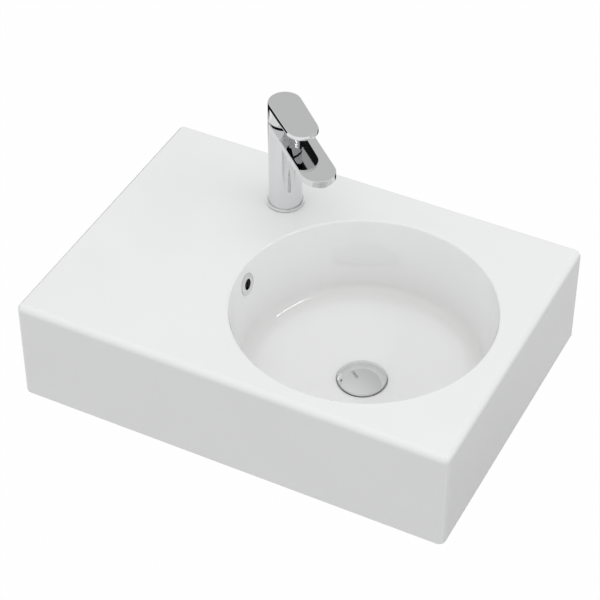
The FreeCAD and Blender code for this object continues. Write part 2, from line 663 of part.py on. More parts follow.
def waste_cover():
    """The domed cover with a hollow underside and a grooved plug that carries the seal and the stem."""
    top = COVER_BOTTOM + COVER_EDGE
    crown = top + COVER_RISE
    sphere = (COVER_RADIUS ** 2 + COVER_RISE ** 2) / (2 * COVER_RISE)
    half_radius = COVER_RADIUS / 2
    half_height = crown - sphere + math.sqrt(sphere ** 2 - half_radius ** 2)
    inner = COVER_RADIUS - COVER_SKIN
    hollow_edge = vec(inner, 0, COVER_BOTTOM)
    hollow_root = vec(PLUG_RADIUS + PLUG_LIP, 0, COVER_BOTTOM)
    seal_low = COVER_BOTTOM - COVER_SEAL_THICKNESS
    edges = Part.makePolygon([
        vec(0, 0, crown),
        vec(0, 0, PLUG_BOTTOM),
        vec(PLUG_RADIUS + PLUG_LIP, 0, PLUG_BOTTOM),
        vec(PLUG_RADIUS + PLUG_LIP, 0, seal_low),
        vec(PLUG_RADIUS, 0, seal_low),
        vec(PLUG_RADIUS, 0, COVER_BOTTOM),
        hollow_root,
        hollow_edge,
        vec(COVER_RADIUS, 0, COVER_BOTTOM),
        vec(COVER_RADIUS, 0, top),
    ]).Edges
    dome = Part.Arc(vec(COVER_RADIUS, 0, top), vec(half_radius, 0, half_height), vec(0, 0, crown)).toShape()
    solid = Part.Face(Part.Wire(edges + [dome])).revolve(vec(0, 0, 0), vec(0, 0, 1), 360)
    socket = cylinder(STEM_RADIUS + THREAD_CLEARANCE, PLUG_BOTTOM - OVERSHOOT, COVER_BOTTOM)
    return on_seat(solid.cut(socket))


def cover_seal():
    """The rubber ring in the plug's groove, parallel to the flange's conical seat."""
    low = COVER_BOTTOM - COVER_SEAL_THICKNESS
    slant = (FLANGE_SEAT_RADIUS - TAIL_BORE) / FLANGE_TOP
    clear = SEAL_CLEARANCE * math.sqrt(1 + slant ** 2)
    low_radius = TAIL_BORE + slant * low - clear
    high_radius = low_radius + slant * COVER_SEAL_THICKNESS
    return on_seat(turned([
        (PLUG_RADIUS, low),
        (low_radius, low),
        (high_radius, COVER_BOTTOM),
        (PLUG_RADIUS, COVER_BOTTOM),
    ]))


# Tap

def slab_outline(height, radius, taper, reach):
    """A closed outline: a half circle about the axis, two tapering sides and a round front end."""
    lean = math.radians(taper)
    end_radius = (radius - reach * math.sin(lean)) / (1 - math.sin(lean))
    normal = vec(math.sin(lean), math.cos(lean), 0)
    left_back = normal * radius
    left_front = vec(reach - end_radius, 0, 0) + normal * end_radius
    right_back = vec(left_back.x, -left_back.y, 0)
    right_front = vec(left_front.x, -left_front.y, 0)
    outline = Part.Wire([
        Part.makeLine(left_back, left_front),
        Part.Arc(left_front, vec(reach, 0, 0), right_front).toShape(),
        Part.makeLine(right_front, right_back),
        Part.Arc(right_back, vec(-radius, 0, 0), left_back).toShape(),
    ])
    outline.translate(vec(0, 0, height))
    return outline


def spout_slab():
    """The level slab of the spout with the top of the body, and the root that fairs it into the column."""
    outline = slab_outline(SPOUT_BOTTOM, TAP_BODY_RADIUS, 0, SPOUT_REACH)
    slab = Part.Face(outline).extrude(vec(0, 0, SPOUT_THICKNESS))
    half = CHANNEL_WIDTH / 2 + TAP_BODY_WALL
    face = TAP_BODY_RADIUS
    low = vec(face, -half, SPOUT_BOTTOM - SPOUT_ROOT)
    high = vec(face + SPOUT_ROOT, -half, SPOUT_BOTTOM)
    bulge = SPOUT_ROOT * (1 - math.sqrt(0.5))
    hollow = Part.Arc(low, vec(face + bulge, -half, SPOUT_BOTTOM - bulge), high).toShape()
    inside = [vec(0, -half, SPOUT_BOTTOM), vec(0, -half, SPOUT_BOTTOM - SPOUT_ROOT)]
    sides = Part.makePolygon([high] + inside + [low]).Edges
    root = Part.Face(Part.Wire(Part.__sortEdges__(sides + [hollow]))).extrude(vec(0, 2 * half, 0))
    return slab.fuse(root)


def waterways():
    """The spaces for the water: two risers, the annulus's exit and the channel along the spout."""
    spaces = []
    for side in (-INLET_SIDE, INLET_SIDE):
        mouth = -SPIGOT_LENGTH - OVERSHOOT
        spaces.append(cylinder(INLET_RELIEF_RADIUS, mouth, INLET_START, INLET_FORWARD, side))
        spaces.append(cylinder(INLET_RADIUS, 0, INLET_START + INLET_DEPTH, INLET_FORWARD, side))
        spaces.append(cylinder(WATERWAY_RADIUS, 0, CARTRIDGE_BOTTOM + OVERSHOOT, INLET_FORWARD, side))
    half = CHANNEL_WIDTH / 2
    roof = TAP_HEIGHT - SPOUT_ROOF
    riser = NUT_RADIUS + TAP_BODY_WALL / 2
    riser_end = riser + CHANNEL_HEIGHT
    spaces.append(block(0, riser_end, -half, half, COLLAR_BOTTOM - 2 * CHANNEL_HEIGHT, COLLAR_BOTTOM))
    spaces.append(block(riser, riser_end, -half, half, COLLAR_BOTTOM - CHANNEL_HEIGHT, roof))
    spaces.append(block(riser, AERATOR_AT, -half, half, roof - CHANNEL_HEIGHT, roof))
    return spaces


def tap_body():
    """The hollow chrome body: column, spout, cartridge seat, inlets and the outlet's thread."""
    column = cylinder(TAP_BODY_RADIUS, RING_SEAT, SPOUT_BOTTOM)
    spigot = cylinder(SPIGOT_RADIUS, -SPIGOT_LENGTH, RING_SEAT)
    solid = column.fuse([spout_slab(), spigot]).removeSplitter()
    solid = solid.makeFillet(CHROME_ROUND, edges_at(solid, TAP_HEIGHT))
    hollow = cylinder(TAP_BODY_RADIUS - TAP_BODY_WALL, RING_SEAT + BASE_PLATE, CARTRIDGE_BOTTOM - SEAT_PLATE)
    for side in (-INLET_SIDE, INLET_SIDE):
        hollow = hollow.cut(cylinder(WATERWAY_RADIUS + WATERWAY_WALL, 0, TAP_HEIGHT, INLET_FORWARD, side))
    spaces = waterways() + [hollow]
    spaces.append(cylinder(CAVITY_RADIUS, CARTRIDGE_BOTTOM, NUT_BOTTOM))
    spaces.append(cylinder(NUT_RADIUS + THREAD_CLEARANCE, NUT_BOTTOM, TAP_HEIGHT + OVERSHOOT))
    stud_top = RING_SEAT + BASE_PLATE + OVERSHOOT
    spaces.append(cylinder(STUD_RADIUS, -SPIGOT_LENGTH - OVERSHOOT, stud_top, -STUD_BACK))
    recess_top = SPOUT_BOTTOM + AERATOR_DEPTH + AERATOR_WASHER
    recess_radius = AERATOR_RADIUS + THREAD_CLEARANCE
    spaces.append(cylinder(recess_radius, SPOUT_BOTTOM - OVERSHOOT, recess_top, AERATOR_AT))
    return on_tap(solid.cut(spaces).removeSplitter())


def tap_base_ring():
    """The chrome ring on the deck, with a lip round the foot of the body."""
    bore = SPIGOT_RADIUS + FIT_GAP
    lip = TAP_BODY_RADIUS + FIT_GAP
    return on_tap(turned([
        (bore, BASE_SEAL_THICKNESS),
        (BASE_RING_RADIUS, BASE_SEAL_THICKNESS),
        (BASE_RING_RADIUS, BASE_RING_HEIGHT - CHROME_ROUND),
        (BASE_RING_RADIUS - CHROME_ROUND, BASE_RING_HEIGHT),
        (lip, BASE_RING_HEIGHT),
        (lip, RING_SEAT),
        (bore, RING_SEAT),
    ]))


def tap_base_seal():
    """The rubber washer between the base ring and the deck."""
    return on_tap(ring(BASE_RING_RADIUS - CHROME_ROUND, SPIGOT_RADIUS + FIT_GAP, 0, BASE_SEAL_THICKNESS))


def aerator_shell():
    """The threaded shell of the outlet, a little proud of the spout, with a ledge under the insert."""
    low = SPOUT_BOTTOM - AERATOR_PROUD
    high = SPOUT_BOTTOM + AERATOR_DEPTH
    inner = AERATOR_RADIUS - AERATOR_WALL
    shell = turned([
        (inner - AERATOR_WALL / 2, low),
        (AERATOR_RADIUS, low),
        (AERATOR_RADIUS, high),
        (inner, high),
        (inner, low + AERATOR_LEDGE),
        (inner - AERATOR_WALL / 2, low + AERATOR_LEDGE),
    ])
    shell.translate(vec(AERATOR_AT, 0, 0))
    return on_tap(shell)


def aerator_insert():
    """The plastic insert that breaks the water into fine jets, with a grid of square holes."""
    radius = AERATOR_RADIUS - AERATOR_WALL - FIT_GAP
    low = SPOUT_BOTTOM - AERATOR_PROUD + AERATOR_LEDGE
    insert = cylinder(radius, low, SPOUT_BOTTOM + AERATOR_DEPTH)
    steps = range(-int(radius / AERATOR_PITCH), int(radius / AERATOR_PITCH) + 1)
    half = AERATOR_HOLE / 2
    holes = []
    for row in steps:
        for column in steps:
            x = row * AERATOR_PITCH
            y = column * AERATOR_PITCH
            if math.hypot(abs(x) + half, abs(y) + half) < radius - AERATOR_WALL / 2:
                holes.append(block(x - half, x + half, y - half, y + half, 0, TAP_HEIGHT))
    insert = insert.cut(holes)
    insert.translate(vec(AERATOR_AT, 0, 0))
    return on_tap(insert)


def aerator_washer():
    """The rubber washer above the outlet's shell."""
    low = SPOUT_BOTTOM + AERATOR_DEPTH
    washer = ring(AERATOR_RADIUS, AERATOR_RADIUS - 2 * AERATOR_WALL, low, low + AERATOR_WASHER)
    washer.translate(vec(AERATOR_AT, 0, 0))
    return on_tap(washer)


def tap_stud():
    """The threaded stud that pulls the tap down."""
    high = RING_SEAT + BASE_PLATE
    return on_tap(cylinder(STUD_RADIUS, high - STUD_LENGTH, high, -STUD_BACK))


def horseshoe(low, high):
    """A round plate with a slot that is open to the front, past the inlets, and a hole for the stud."""
    slot_back = INLET_FORWARD - INLET_RADIUS - STUD_RADIUS / 2
    half = HORSESHOE_SLOT / 2
    slot = block(slot_back, HORSESHOE_RADIUS + OVERSHOOT, -half, half, low - OVERSHOOT, high + OVERSHOOT)
    hole = cylinder(STUD_RADIUS + FIT_GAP, low - OVERSHOOT, high + OVERSHOOT, -STUD_BACK)
    return on_tap(cylinder(HORSESHOE_RADIUS, low, high).cut([slot, hole]))


def tap_rubber_horseshoe():
    """The rubber pad under the deck."""
    return horseshoe(-TAP_PAD_THICKNESS - RUBBER_THICKNESS, -TAP_PAD_THICKNESS)


def tap_steel_horseshoe():
    """The steel plate under the rubber pad."""
    high = -TAP_PAD_THICKNESS - RUBBER_THICKNESS
    return horseshoe(high - STEEL_THICKNESS, high)


def tap_nut():
    """The hexagon nut on the stud."""
    high = -TAP_PAD_THICKNESS - RUBBER_THICKNESS - STEEL_THICKNESS
    low = high - TAP_NUT_HEIGHT
    nut = hexagon(TAP_NUT_ACROSS_FLATS, low, high, -STUD_BACK)
    bore = cylinder(STUD_RADIUS + THREAD_CLEARANCE, low - OVERSHOOT, high + OVERSHOOT, -STUD_BACK)
    return on_tap(nut.cut(bore))


# Mixing cartridge

def port_places():
    """The two inlet ports of the cartridge, over the tap's risers."""
    return [(INLET_FORWARD, -INLET_SIDE), (INLET_FORWARD, INLET_SIDE)]


def cartridge_base():
    """The cartridge's foot: a flange and a plug with two inlet ports and an outlet notch behind."""
    flange = cylinder(CARTRIDGE_RADIUS, CARTRIDGE_BOTTOM, CARTRIDGE_FLANGE_TOP)
    plug = cylinder(CHAMBER_RADIUS - FIT_GAP, CARTRIDGE_FLANGE_TOP, FIXED_DISC_BOTTOM)
    spaces = []
    for x, y in port_places():
        seal = WATERWAY_RADIUS + PORT_SEAL_WIDTH
        seal_top = CARTRIDGE_BOTTOM + PORT_SEAL_HEIGHT
        spaces.append(cylinder(WATERWAY_RADIUS, CARTRIDGE_BOTTOM - OVERSHOOT, TAP_HEIGHT, x, y))
        spaces.append(cylinder(seal, CARTRIDGE_BOTTOM - OVERSHOOT, seal_top, x, y))
    outlet = cylinder(WATERWAY_RADIUS, CARTRIDGE_BOTTOM - OVERSHOOT, TAP_HEIGHT, -INLET_SIDE)
    notch = block(-2 * CARTRIDGE_RADIUS, -INLET_SIDE, -WATERWAY_RADIUS, WATERWAY_RADIUS,
                  CARTRIDGE_BOTTOM - OVERSHOOT, CARTRIDGE_BOTTOM + CARTRIDGE_BASE_FLANGE)
    return on_tap(flange.fuse(plug).cut(spaces + [outlet, notch]).removeSplitter())


def cartridge_seals():
    """The two rubber port seals, flush with the cartridge's foot."""
    seals = []
    for x, y in port_places():
        seal = ring(WATERWAY_RADIUS + PORT_SEAL_WIDTH - FIT_GAP, WATERWAY_RADIUS, CARTRIDGE_BOTTOM,
                    CARTRIDGE_BOTTOM + PORT_SEAL_HEIGHT)
        seal.translate(vec(x, y, 0))
        seals.append(seal)
    return on_tap(Part.makeCompound(seals))


def cartridge_housing():
    """The plastic housing: a chamber for the discs, a collar under the nut and a neck for the rotor."""
    return on_tap(turned([
        (CHAMBER_RADIUS, CARTRIDGE_FLANGE_TOP),
        (CARTRIDGE_RADIUS, CARTRIDGE_FLANGE_TOP),
        (CARTRIDGE_RADIUS, COLLAR_BOTTOM),
        (CAVITY_RADIUS - FIT_GAP, COLLAR_BOTTOM),
        (CAVITY_RADIUS - FIT_GAP, NUT_BOTTOM),
        (NECK_RADIUS, NUT_BOTTOM),
        (NECK_RADIUS, NECK_TOP),
        (NECK_BORE, NECK_TOP),
        (NECK_BORE, CHAMBER_TOP),
        (CHAMBER_RADIUS, CHAMBER_TOP),
    ]))


def fixed_disc():
    """The ceramic disc with two inlet ports and an outlet port."""
    disc = cylinder(CHAMBER_RADIUS - FIT_GAP, FIXED_DISC_BOTTOM, FIXED_DISC_TOP)
    places = port_places() + [(-INLET_SIDE, 0)]
    ports = [cylinder(WATERWAY_RADIUS, 0, TAP_HEIGHT, x, y) for x, y in places]
    return on_tap(disc.cut(ports))


def moving_disc():
    """The ceramic disc that slides and turns on the fixed one, with a mixing hollow underneath."""
    disc = cylinder(MOVING_DISC_RADIUS, MOVING_DISC_BOTTOM, CARRIER_BOTTOM, DISC_OFFSET)
    depth = MOVING_DISC_BOTTOM + DISC_THICKNESS / 2
    hollow = cylinder(MOVING_DISC_RADIUS / 2, MOVING_DISC_BOTTOM - OVERSHOOT, depth, DISC_OFFSET)
    return on_tap(disc.cut(hollow))


def disc_carrier():
    """The plastic carrier on the moving disc, flat between the rotor's lugs, with the stem's pocket."""
    foot = cylinder(CARRIER_RADIUS, CARRIER_BOTTOM, CARRIER_STEP, DISC_OFFSET)
    head = cylinder(CARRIER_RADIUS, CARRIER_STEP, CARRIER_TOP, DISC_OFFSET)
    half = ROTOR_RADIUS - 3 * RUN_GAP
    rail = block(-2 * CARRIER_RADIUS, 2 * CARRIER_RADIUS, -half, half, CARRIER_STEP, CARRIER_TOP)
    pocket = cylinder(BALL_RADIUS + BALL_CLEARANCE, POCKET_BOTTOM, TAP_HEIGHT)
    return on_tap(foot.fuse(head.common(rail)).cut(pocket).removeSplitter())


def cartridge_rotor():
    """The rotor: a round guide in the neck, slotted for the stem, with a flange and two carrier lugs."""
    guide = cylinder(ROTOR_RADIUS, ROTOR_FLANGE_TOP, NECK_TOP)
    flange = cylinder(ROTOR_FLANGE_RADIUS, ROTOR_FLANGE_BOTTOM, ROTOR_FLANGE_TOP)
    lugs = cylinder(ROTOR_FLANGE_RADIUS, ROTOR_FLANGE_BOTTOM - ROTOR_LUG_LENGTH, ROTOR_FLANGE_BOTTOM)
    inner = ROTOR_RADIUS - 2 * RUN_GAP
    rails = []
    for side in (-1, 1):
        far = side * (inner + ROTOR_LUG_WIDTH)
        near = side * inner
        rails.append(block(-TAP_BODY_RADIUS, TAP_BODY_RADIUS, min(near, far), max(near, far), 0, TAP_HEIGHT))
    lugs = lugs.common(rails[0].fuse(rails[1]))
    half = ROTOR_SLOT_WIDTH / 2
    slot = block(-ROTOR_SLOT_LENGTH / 2, ROTOR_SLOT_LENGTH / 2, -half, half, 0, NECK_TOP + OVERSHOOT)
    pin_hole = Part.makeCylinder(PIN_RADIUS, 2 * ROTOR_RADIUS, vec(0, -ROTOR_RADIUS, PIVOT_Z), vec(0, 1, 0))
    return on_tap(guide.fuse([flange, lugs]).cut([slot, pin_hole]).removeSplitter())


def rotor_pin():
    """The steel pin that the stem tilts on."""
    half = ROTOR_RADIUS - 2 * RUN_GAP
    return on_tap(Part.makeCylinder(PIN_RADIUS, 2 * half, vec(0, -half, PIVOT_Z), vec(0, 1, 0)))


def cartridge_nut():
    """The ring nut over the housing's collar, with notches for its key."""
    nut = ring(NUT_RADIUS, NECK_RADIUS + 3 * RUN_GAP, NUT_BOTTOM, NUT_TOP)
    notch = block(-NUT_RADIUS, NUT_RADIUS, -NUT_NOTCH / 2, NUT_NOTCH / 2, NUT_TOP - NUT_HEIGHT / 3, NUT_TOP)
    cross = notch.copy()
    cross.rotate(vec(0, 0, 0), vec(0, 0, 1), 90)
    return on_tap(nut.cut([notch, cross]))


def slide_dome():
    """The dark dome over the cartridge, centred on the lever's pivot so that the hub swings clear of it."""
    outer = Part.makeSphere(DOME_RADIUS, vec(0, 0, PIVOT_Z))
    inner = Part.makeSphere(DOME_RADIUS - DOME_SKIN, vec(0, 0, PIVOT_Z))
    above = cylinder(TAP_BODY_RADIUS, NUT_TOP, LEVER_TOP)
    mouth = cylinder(DOME_MOUTH, NUT_TOP - OVERSHOOT, LEVER_TOP + OVERSHOOT)
    return on_tap(outer.cut(inner).common(above).cut(mouth))


# Lever

def lift_relief():
    """The wedge cut from the back of the hub's rim, so that the lifted lever clears the top of the body."""
    lift = math.radians(LIFT_RANGE)

    def rim(forward):
        return PIVOT_Z + (PIVOT_DEPTH + LIFT_CLEARANCE - forward * math.sin(lift)) / math.cos(lift)

    back = -2 * LEVER_RADIUS
    wide = 2 * LEVER_RADIUS
    front = (PIVOT_DEPTH + LIFT_CLEARANCE - (HUB_BOTTOM - PIVOT_Z) * math.cos(lift)) / math.sin(lift)
    wedge = polygon([
        vec(front, -wide, HUB_BOTTOM),
        vec(back, -wide, rim(back)),
        vec(back, -wide, HUB_BOTTOM - OVERSHOOT),
        vec(front, -wide, HUB_BOTTOM - OVERSHOOT),
    ])
    return wedge.extrude(vec(0, 2 * wide, 0))


def lever_slab():
    """The lever's flat slab, whose sides rise upright from below and crown inwards towards the top."""
    sections = []
    for share in (0, 0.5, 1):
        inset = LEVER_CROWN * share ** 2
        height = LEVER_BOTTOM + LEVER_THICKNESS * share
        sections.append(slab_outline(height, LEVER_RADIUS - inset, LEVER_TAPER, LEVER_REACH - inset))
    return Part.makeLoft(sections, True, False)


def lever_handle():
    """The lever: a slab on a hollow round hub, with a socket for the stem and a way in for its screw."""
    slab = lever_slab()
    slab = slab.makeFillet(CHROME_ROUND, edges_at(slab, LEVER_TOP))
    solid = slab.fuse(cylinder(LEVER_RADIUS, HUB_BOTTOM, LEVER_BOTTOM)).removeSplitter()
    socket_radius = STEM_SQUARE / math.sqrt(2) + SOCKET_WALL / 2
    web_half = SCREW_RADIUS + SOCKET_WALL / 2
    post = cylinder(socket_radius, SOCKET_BOTTOM, HUB_CEILING + OVERSHOOT / 2)
    web = block(0, HUB_BORE + HUB_WALL / 2, -web_half, web_half, SOCKET_BOTTOM, HUB_CEILING + OVERSHOOT / 2)
    hollow = cylinder(HUB_BORE, HUB_BOTTOM - OVERSHOOT, HUB_CEILING).cut(post.fuse(web))
    half = STEM_SQUARE / 2 + THREAD_CLEARANCE
    socket = block(-half, half, -half, half, SOCKET_BOTTOM - OVERSHOOT, HUB_CEILING)
    screw_way = Part.makeCylinder(SCREW_RADIUS, LEVER_REACH, vec(0, 0, SCREW_Z), vec(1, 0, 0))
    plug_way = Part.makeCylinder(LEVER_PLUG_RADIUS + FIT_GAP, LEVER_REACH,
                                 vec(LEVER_RADIUS - LEVER_PLUG_DEPTH, 0, SCREW_Z), vec(1, 0, 0))
    return on_tap(solid.cut([hollow, lift_relief(), socket, screw_way, plug_way]).removeSplitter())


def lever_stem():
    """The steel stem: a square shank in the lever, a cross hole for the pin and a ball in the pocket."""
    half = STEM_SQUARE / 2
    shank_low = PIVOT_Z - half
    shank = block(-half, half, -half, half, shank_low, HUB_CEILING)
    waist = cylinder(STEM_WAIST, BALL_Z, shank_low)
    ball = Part.makeSphere(BALL_RADIUS, vec(0, 0, BALL_Z))
    hole_start = vec(0, -STEM_SQUARE, PIVOT_Z)
    hole = Part.makeCylinder(PIN_RADIUS + PIN_FIT, 2 * STEM_SQUARE, hole_start, vec(0, 1, 0))
    return on_tap(shank.fuse([waist, ball]).cut(hole).removeSplitter())


def lever_screw():
    """The grub screw that grips the stem."""
    start = vec(STEM_SQUARE / 2, 0, SCREW_Z)
    return on_tap(Part.makeCylinder(SCREW_RADIUS, SCREW_LENGTH, start, vec(1, 0, 0)))


def lever_plug():
    """The small cover over the screw's way in."""
    start = vec(LEVER_RADIUS - LEVER_PLUG_DEPTH, 0, SCREW_Z)
    return on_tap(Part.makeCylinder(LEVER_PLUG_RADIUS, LEVER_PLUG_DEPTH, start, vec(1, 0, 0)))


PIECES = [
    basin_body, overflow_ring,
    waste_body, waste_flange_seal, waste_cone_seal, waste_slip_washer, waste_back_nut,
    press_cartridge, press_spring, cover_stem, waste_cover, cover_seal,
    tap_body, tap_base_ring, tap_base_seal, aerator_shell, aerator_insert, aerator_washer,
    tap_stud, tap_rubber_horseshoe, tap_steel_horseshoe, tap_nut,
    cartridge_base, cartridge_seals, cartridge_housing, fixed_disc, moving_disc, disc_carrier,
    cartridge_rotor, rotor_pin, cartridge_nut, slide_dome,
    lever_handle, lever_stem, lever_screw, lever_plug,
]

os.makedirs("parts", exist_ok=True)
for piece in PIECES:
    shape = piece()
    shape.exportStep("parts/" + piece.__name__ + ".step")
    print(piece.__name__, len(shape.Solids), round(shape.Volume), shape.isValid())
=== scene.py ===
"""Looks of a wall-hung ceramic basin with a single-lever tap and a press-to-close waste."""

import json
import logging
import math
from dataclasses import dataclass
from enum import Enum
from typing import Callable, ClassVar, Optional, Sequence, Union

import bmesh
import bpy
from mathutils import Matrix, Vector


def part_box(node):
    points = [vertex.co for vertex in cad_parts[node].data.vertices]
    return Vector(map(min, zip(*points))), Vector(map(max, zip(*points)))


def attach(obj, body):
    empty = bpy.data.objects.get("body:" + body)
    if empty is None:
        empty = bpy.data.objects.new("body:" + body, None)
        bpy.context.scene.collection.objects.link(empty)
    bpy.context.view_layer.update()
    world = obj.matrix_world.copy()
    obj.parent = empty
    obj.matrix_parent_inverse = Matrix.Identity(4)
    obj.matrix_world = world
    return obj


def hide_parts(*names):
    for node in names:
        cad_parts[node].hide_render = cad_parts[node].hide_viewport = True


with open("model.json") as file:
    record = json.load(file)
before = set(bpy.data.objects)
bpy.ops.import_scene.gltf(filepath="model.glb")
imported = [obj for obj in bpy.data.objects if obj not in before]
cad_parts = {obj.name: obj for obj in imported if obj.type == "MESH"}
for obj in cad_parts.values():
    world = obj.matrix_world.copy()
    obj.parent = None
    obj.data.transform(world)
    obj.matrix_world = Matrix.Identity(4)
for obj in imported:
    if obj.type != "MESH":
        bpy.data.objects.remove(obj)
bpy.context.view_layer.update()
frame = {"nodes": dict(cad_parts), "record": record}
LOG = logging.getLogger("basin")
Operand = Union[float, Sequence[float], "Value"]


class Value:
    """A shader socket that takes part in Python expressions."""

    def __init__(self, graph: "Graph", socket: bpy.types.NodeSocket) -> None:
        """Keep the socket and the graph that it belongs to."""
        self.graph = graph
        self.socket = socket

    def _join(self, operation: str, first: Operand, second: Operand) -> "Value":
        """Add the node of one operation.

        Args:
            operation: Name of the Math or Vector Math operation.
            first: Left side.
            second: Right side.

        Returns:
            The result's socket.
        """
        kind = "ShaderNodeVectorMath" if self.socket.type == "VECTOR" else "ShaderNodeMath"
        return self.graph.add(kind, {"operation": operation}, {0: first, 1: second})

    def __add__(self, other: Operand) -> "Value":
        """Sum."""
        return self._join("ADD", self, other)

    def __radd__(self, other: Operand) -> "Value":
        """Sum with the socket on the right."""
        return self._join("ADD", other, self)

    def __sub__(self, other: Operand) -> "Value":
        """Difference."""
        return self._join("SUBTRACT", self, other)

    def __rsub__(self, other: Operand) -> "Value":
        """Difference with the socket on the right."""
        return self._join("SUBTRACT", other, self)

    def __mul__(self, other: Operand) -> "Value":
        """Product."""
        return self._join("MULTIPLY", self, other)

    def __rmul__(self, other: Operand) -> "Value":
        """Product with the socket on the right."""
        return self._join("MULTIPLY", other, self)

    def __abs__(self) -> "Value":
        """Size without its sign."""
        return self.graph.add("ShaderNodeMath", {"operation": "ABSOLUTE"}, {0: self})

    def most(self, other: Operand) -> "Value":
        """The larger of two values."""
        return self._join("MAXIMUM", self, other)

    def ease(self, low: float, high: float) -> "Value":
        """A smooth step from 0 at low to 1 at high.

        Args:
            low: Value that gives 0.
            high: Value that gives 1.

        Returns:
            The eased value.
        """
        return self.graph.add(
            "ShaderNodeMapRange", {"interpolation_type": "SMOOTHSTEP"},
            {"Value": self, "From Min": low, "From Max": high})


class Graph:
    """A node tree that is written as expressions."""

    def __init__(self, tree: bpy.types.NodeTree) -> None:
        """Start on an empty tree."""
        self.tree = tree
        tree.nodes.clear()

    def node(self, kind: str, settings: Optional[dict] = None, sockets: Optional[dict] = None) -> bpy.types.Node:
        """Add one node.

        Args:
            kind: Blender's name of the node type.
            settings: Properties, set before the sockets.
            sockets: Input name or number to a value or to a linked Value.

        Returns:
            The new node.
        """
        made = self.tree.nodes.new(kind)
        for name, value in (settings or {}).items():
            setattr(made, name, value)
        for name, value in (sockets or {}).items():
            if isinstance(value, Value):
                self.tree.links.new(value.socket, made.inputs[name])
            else:
                made.inputs[name].default_value = value
        return made

    def add(self, kind: str, settings: Optional[dict] = None, sockets: Optional[dict] = None,
            output: Union[int, str] = 0) -> Value:
        """Add one node and take one of its outputs.

        Args:
            kind: Blender's name of the node type.
            settings: Properties of the node.
            sockets: Input values or links.
            output: Name or number of the output.

        Returns:
            The output as a Value.
        """
        return Value(self, self.node(kind, settings, sockets).outputs[output])

    def place(self) -> Value:
        """The point on the piece, in metres, in the frame that the piece was built in."""
        return self.add("ShaderNodeTexCoord", output="Object")

    def split(self, vector: Value) -> tuple[Value, Value, Value]:
        """The three numbers of a vector."""
        node = self.node("ShaderNodeSeparateXYZ", sockets={0: vector})
        return tuple(Value(self, node.outputs[i]) for i in range(3))

    def off_axis(self, x: float, y: float) -> Value:
        """The distance from an upright axis.

        Args:
            x: Where the axis stands, in metres.
            y: Where the axis stands, in metres.

        Returns:
            The distance in metres.
        """
        level = (self.place() - (x, y, 0.0)) * (1.0, 1.0, 0.0)
        return self.add("ShaderNodeVectorMath", {"operation": "LENGTH"}, {0: level}, output="Value")

    def noise(self, grain: float, detail: float = 2.0, stretch: Sequence[float] = (1, 1, 1)) -> Value:
        """Soft random values about one half.

        Args:
            grain: Size of the patches in metres.
            detail: Number of finer layers.
            stretch: How much longer the patches are along each axis.

        Returns:
            The noise value.
        """
        place = self.place() * tuple(1 / s for s in stretch)
        return self.add("ShaderNodeTexNoise", sockets={"Vector": place, "Scale": 1 / grain, "Detail": detail})

    def mix(self, factor: Operand, first: Operand, second: Operand) -> Value:
        """Blend two colours.

        Args:
            factor: Share of the second colour.
            first: Colour at 0.
            second: Colour at 1.

        Returns:
            The blended colour.
        """
        return self.add("ShaderNodeMix", {"data_type": "RGBA"}, {0: factor, 6: first, 7: second}, output=2)

    def bump(self, height: Value, depth: float) -> Value:
        """A normal that is tilted by a height map.

        Args:
            height: Height from 0 to 1.
            depth: What 1 means, in metres.

        Returns:
            The tilted normal.
        """
        return self.add("ShaderNodeBump", sockets={"Height": height, "Strength": 1.0, "Distance": depth})


def rgb(red: float, green: float, blue: float) -> tuple[float, float, float, float]:
    """A linear colour with full alpha."""
    return (red, green, blue, 1.0)


def grey(level: float) -> tuple[float, float, float, float]:
    """A linear grey with full alpha."""
    return rgb(level, level, level)


def dimmed(colour: tuple, share: float) -> tuple[float, float, float, float]:
    """A share of a colour with full alpha."""
    return rgb(*(part * share for part in colour[:3]))


class Slot(Enum):
    """The record's material slots."""

    GLAZE = "glazed_white"
    CHROME = "chrome_polished"
    RUBBER = "rubber_black"
    WHITE_PLASTIC = "plastic_white"
    BLACK_PLASTIC = "plastic_black"
    BRASS = "brass_plain"
    STEEL = "steel_plain"
    DISC = "disc_ceramic"


@dataclass(frozen=True)
class Finish:
    """A surface finish that becomes one material."""

    slot: Slot

    def surface(self, graph: Graph) -> dict[str, Operand]:
        """The shader's sockets.

        Args:
            graph: Node tree of the material.

        Returns:
            Socket name to value or link.
        """
        raise NotImplementedError

    def material(self) -> bpy.types.Material:
        """The material, made at the first call.

        Returns:
            The material under the name of the slot.
        """
        name = self.slot.value
        if name in bpy.data.materials and bpy.data.materials[name].get("dressed"):
            return bpy.data.materials[name]
        made = bpy.data.materials.new(name)
        made.use_nodes = True
        made["dressed"] = True
        graph = Graph(made.node_tree)
        shader = graph.add("ShaderNodeBsdfPrincipled", {}, self.surface(graph))
        graph.node("ShaderNodeOutputMaterial", {}, {"Surface": shader})
        return made


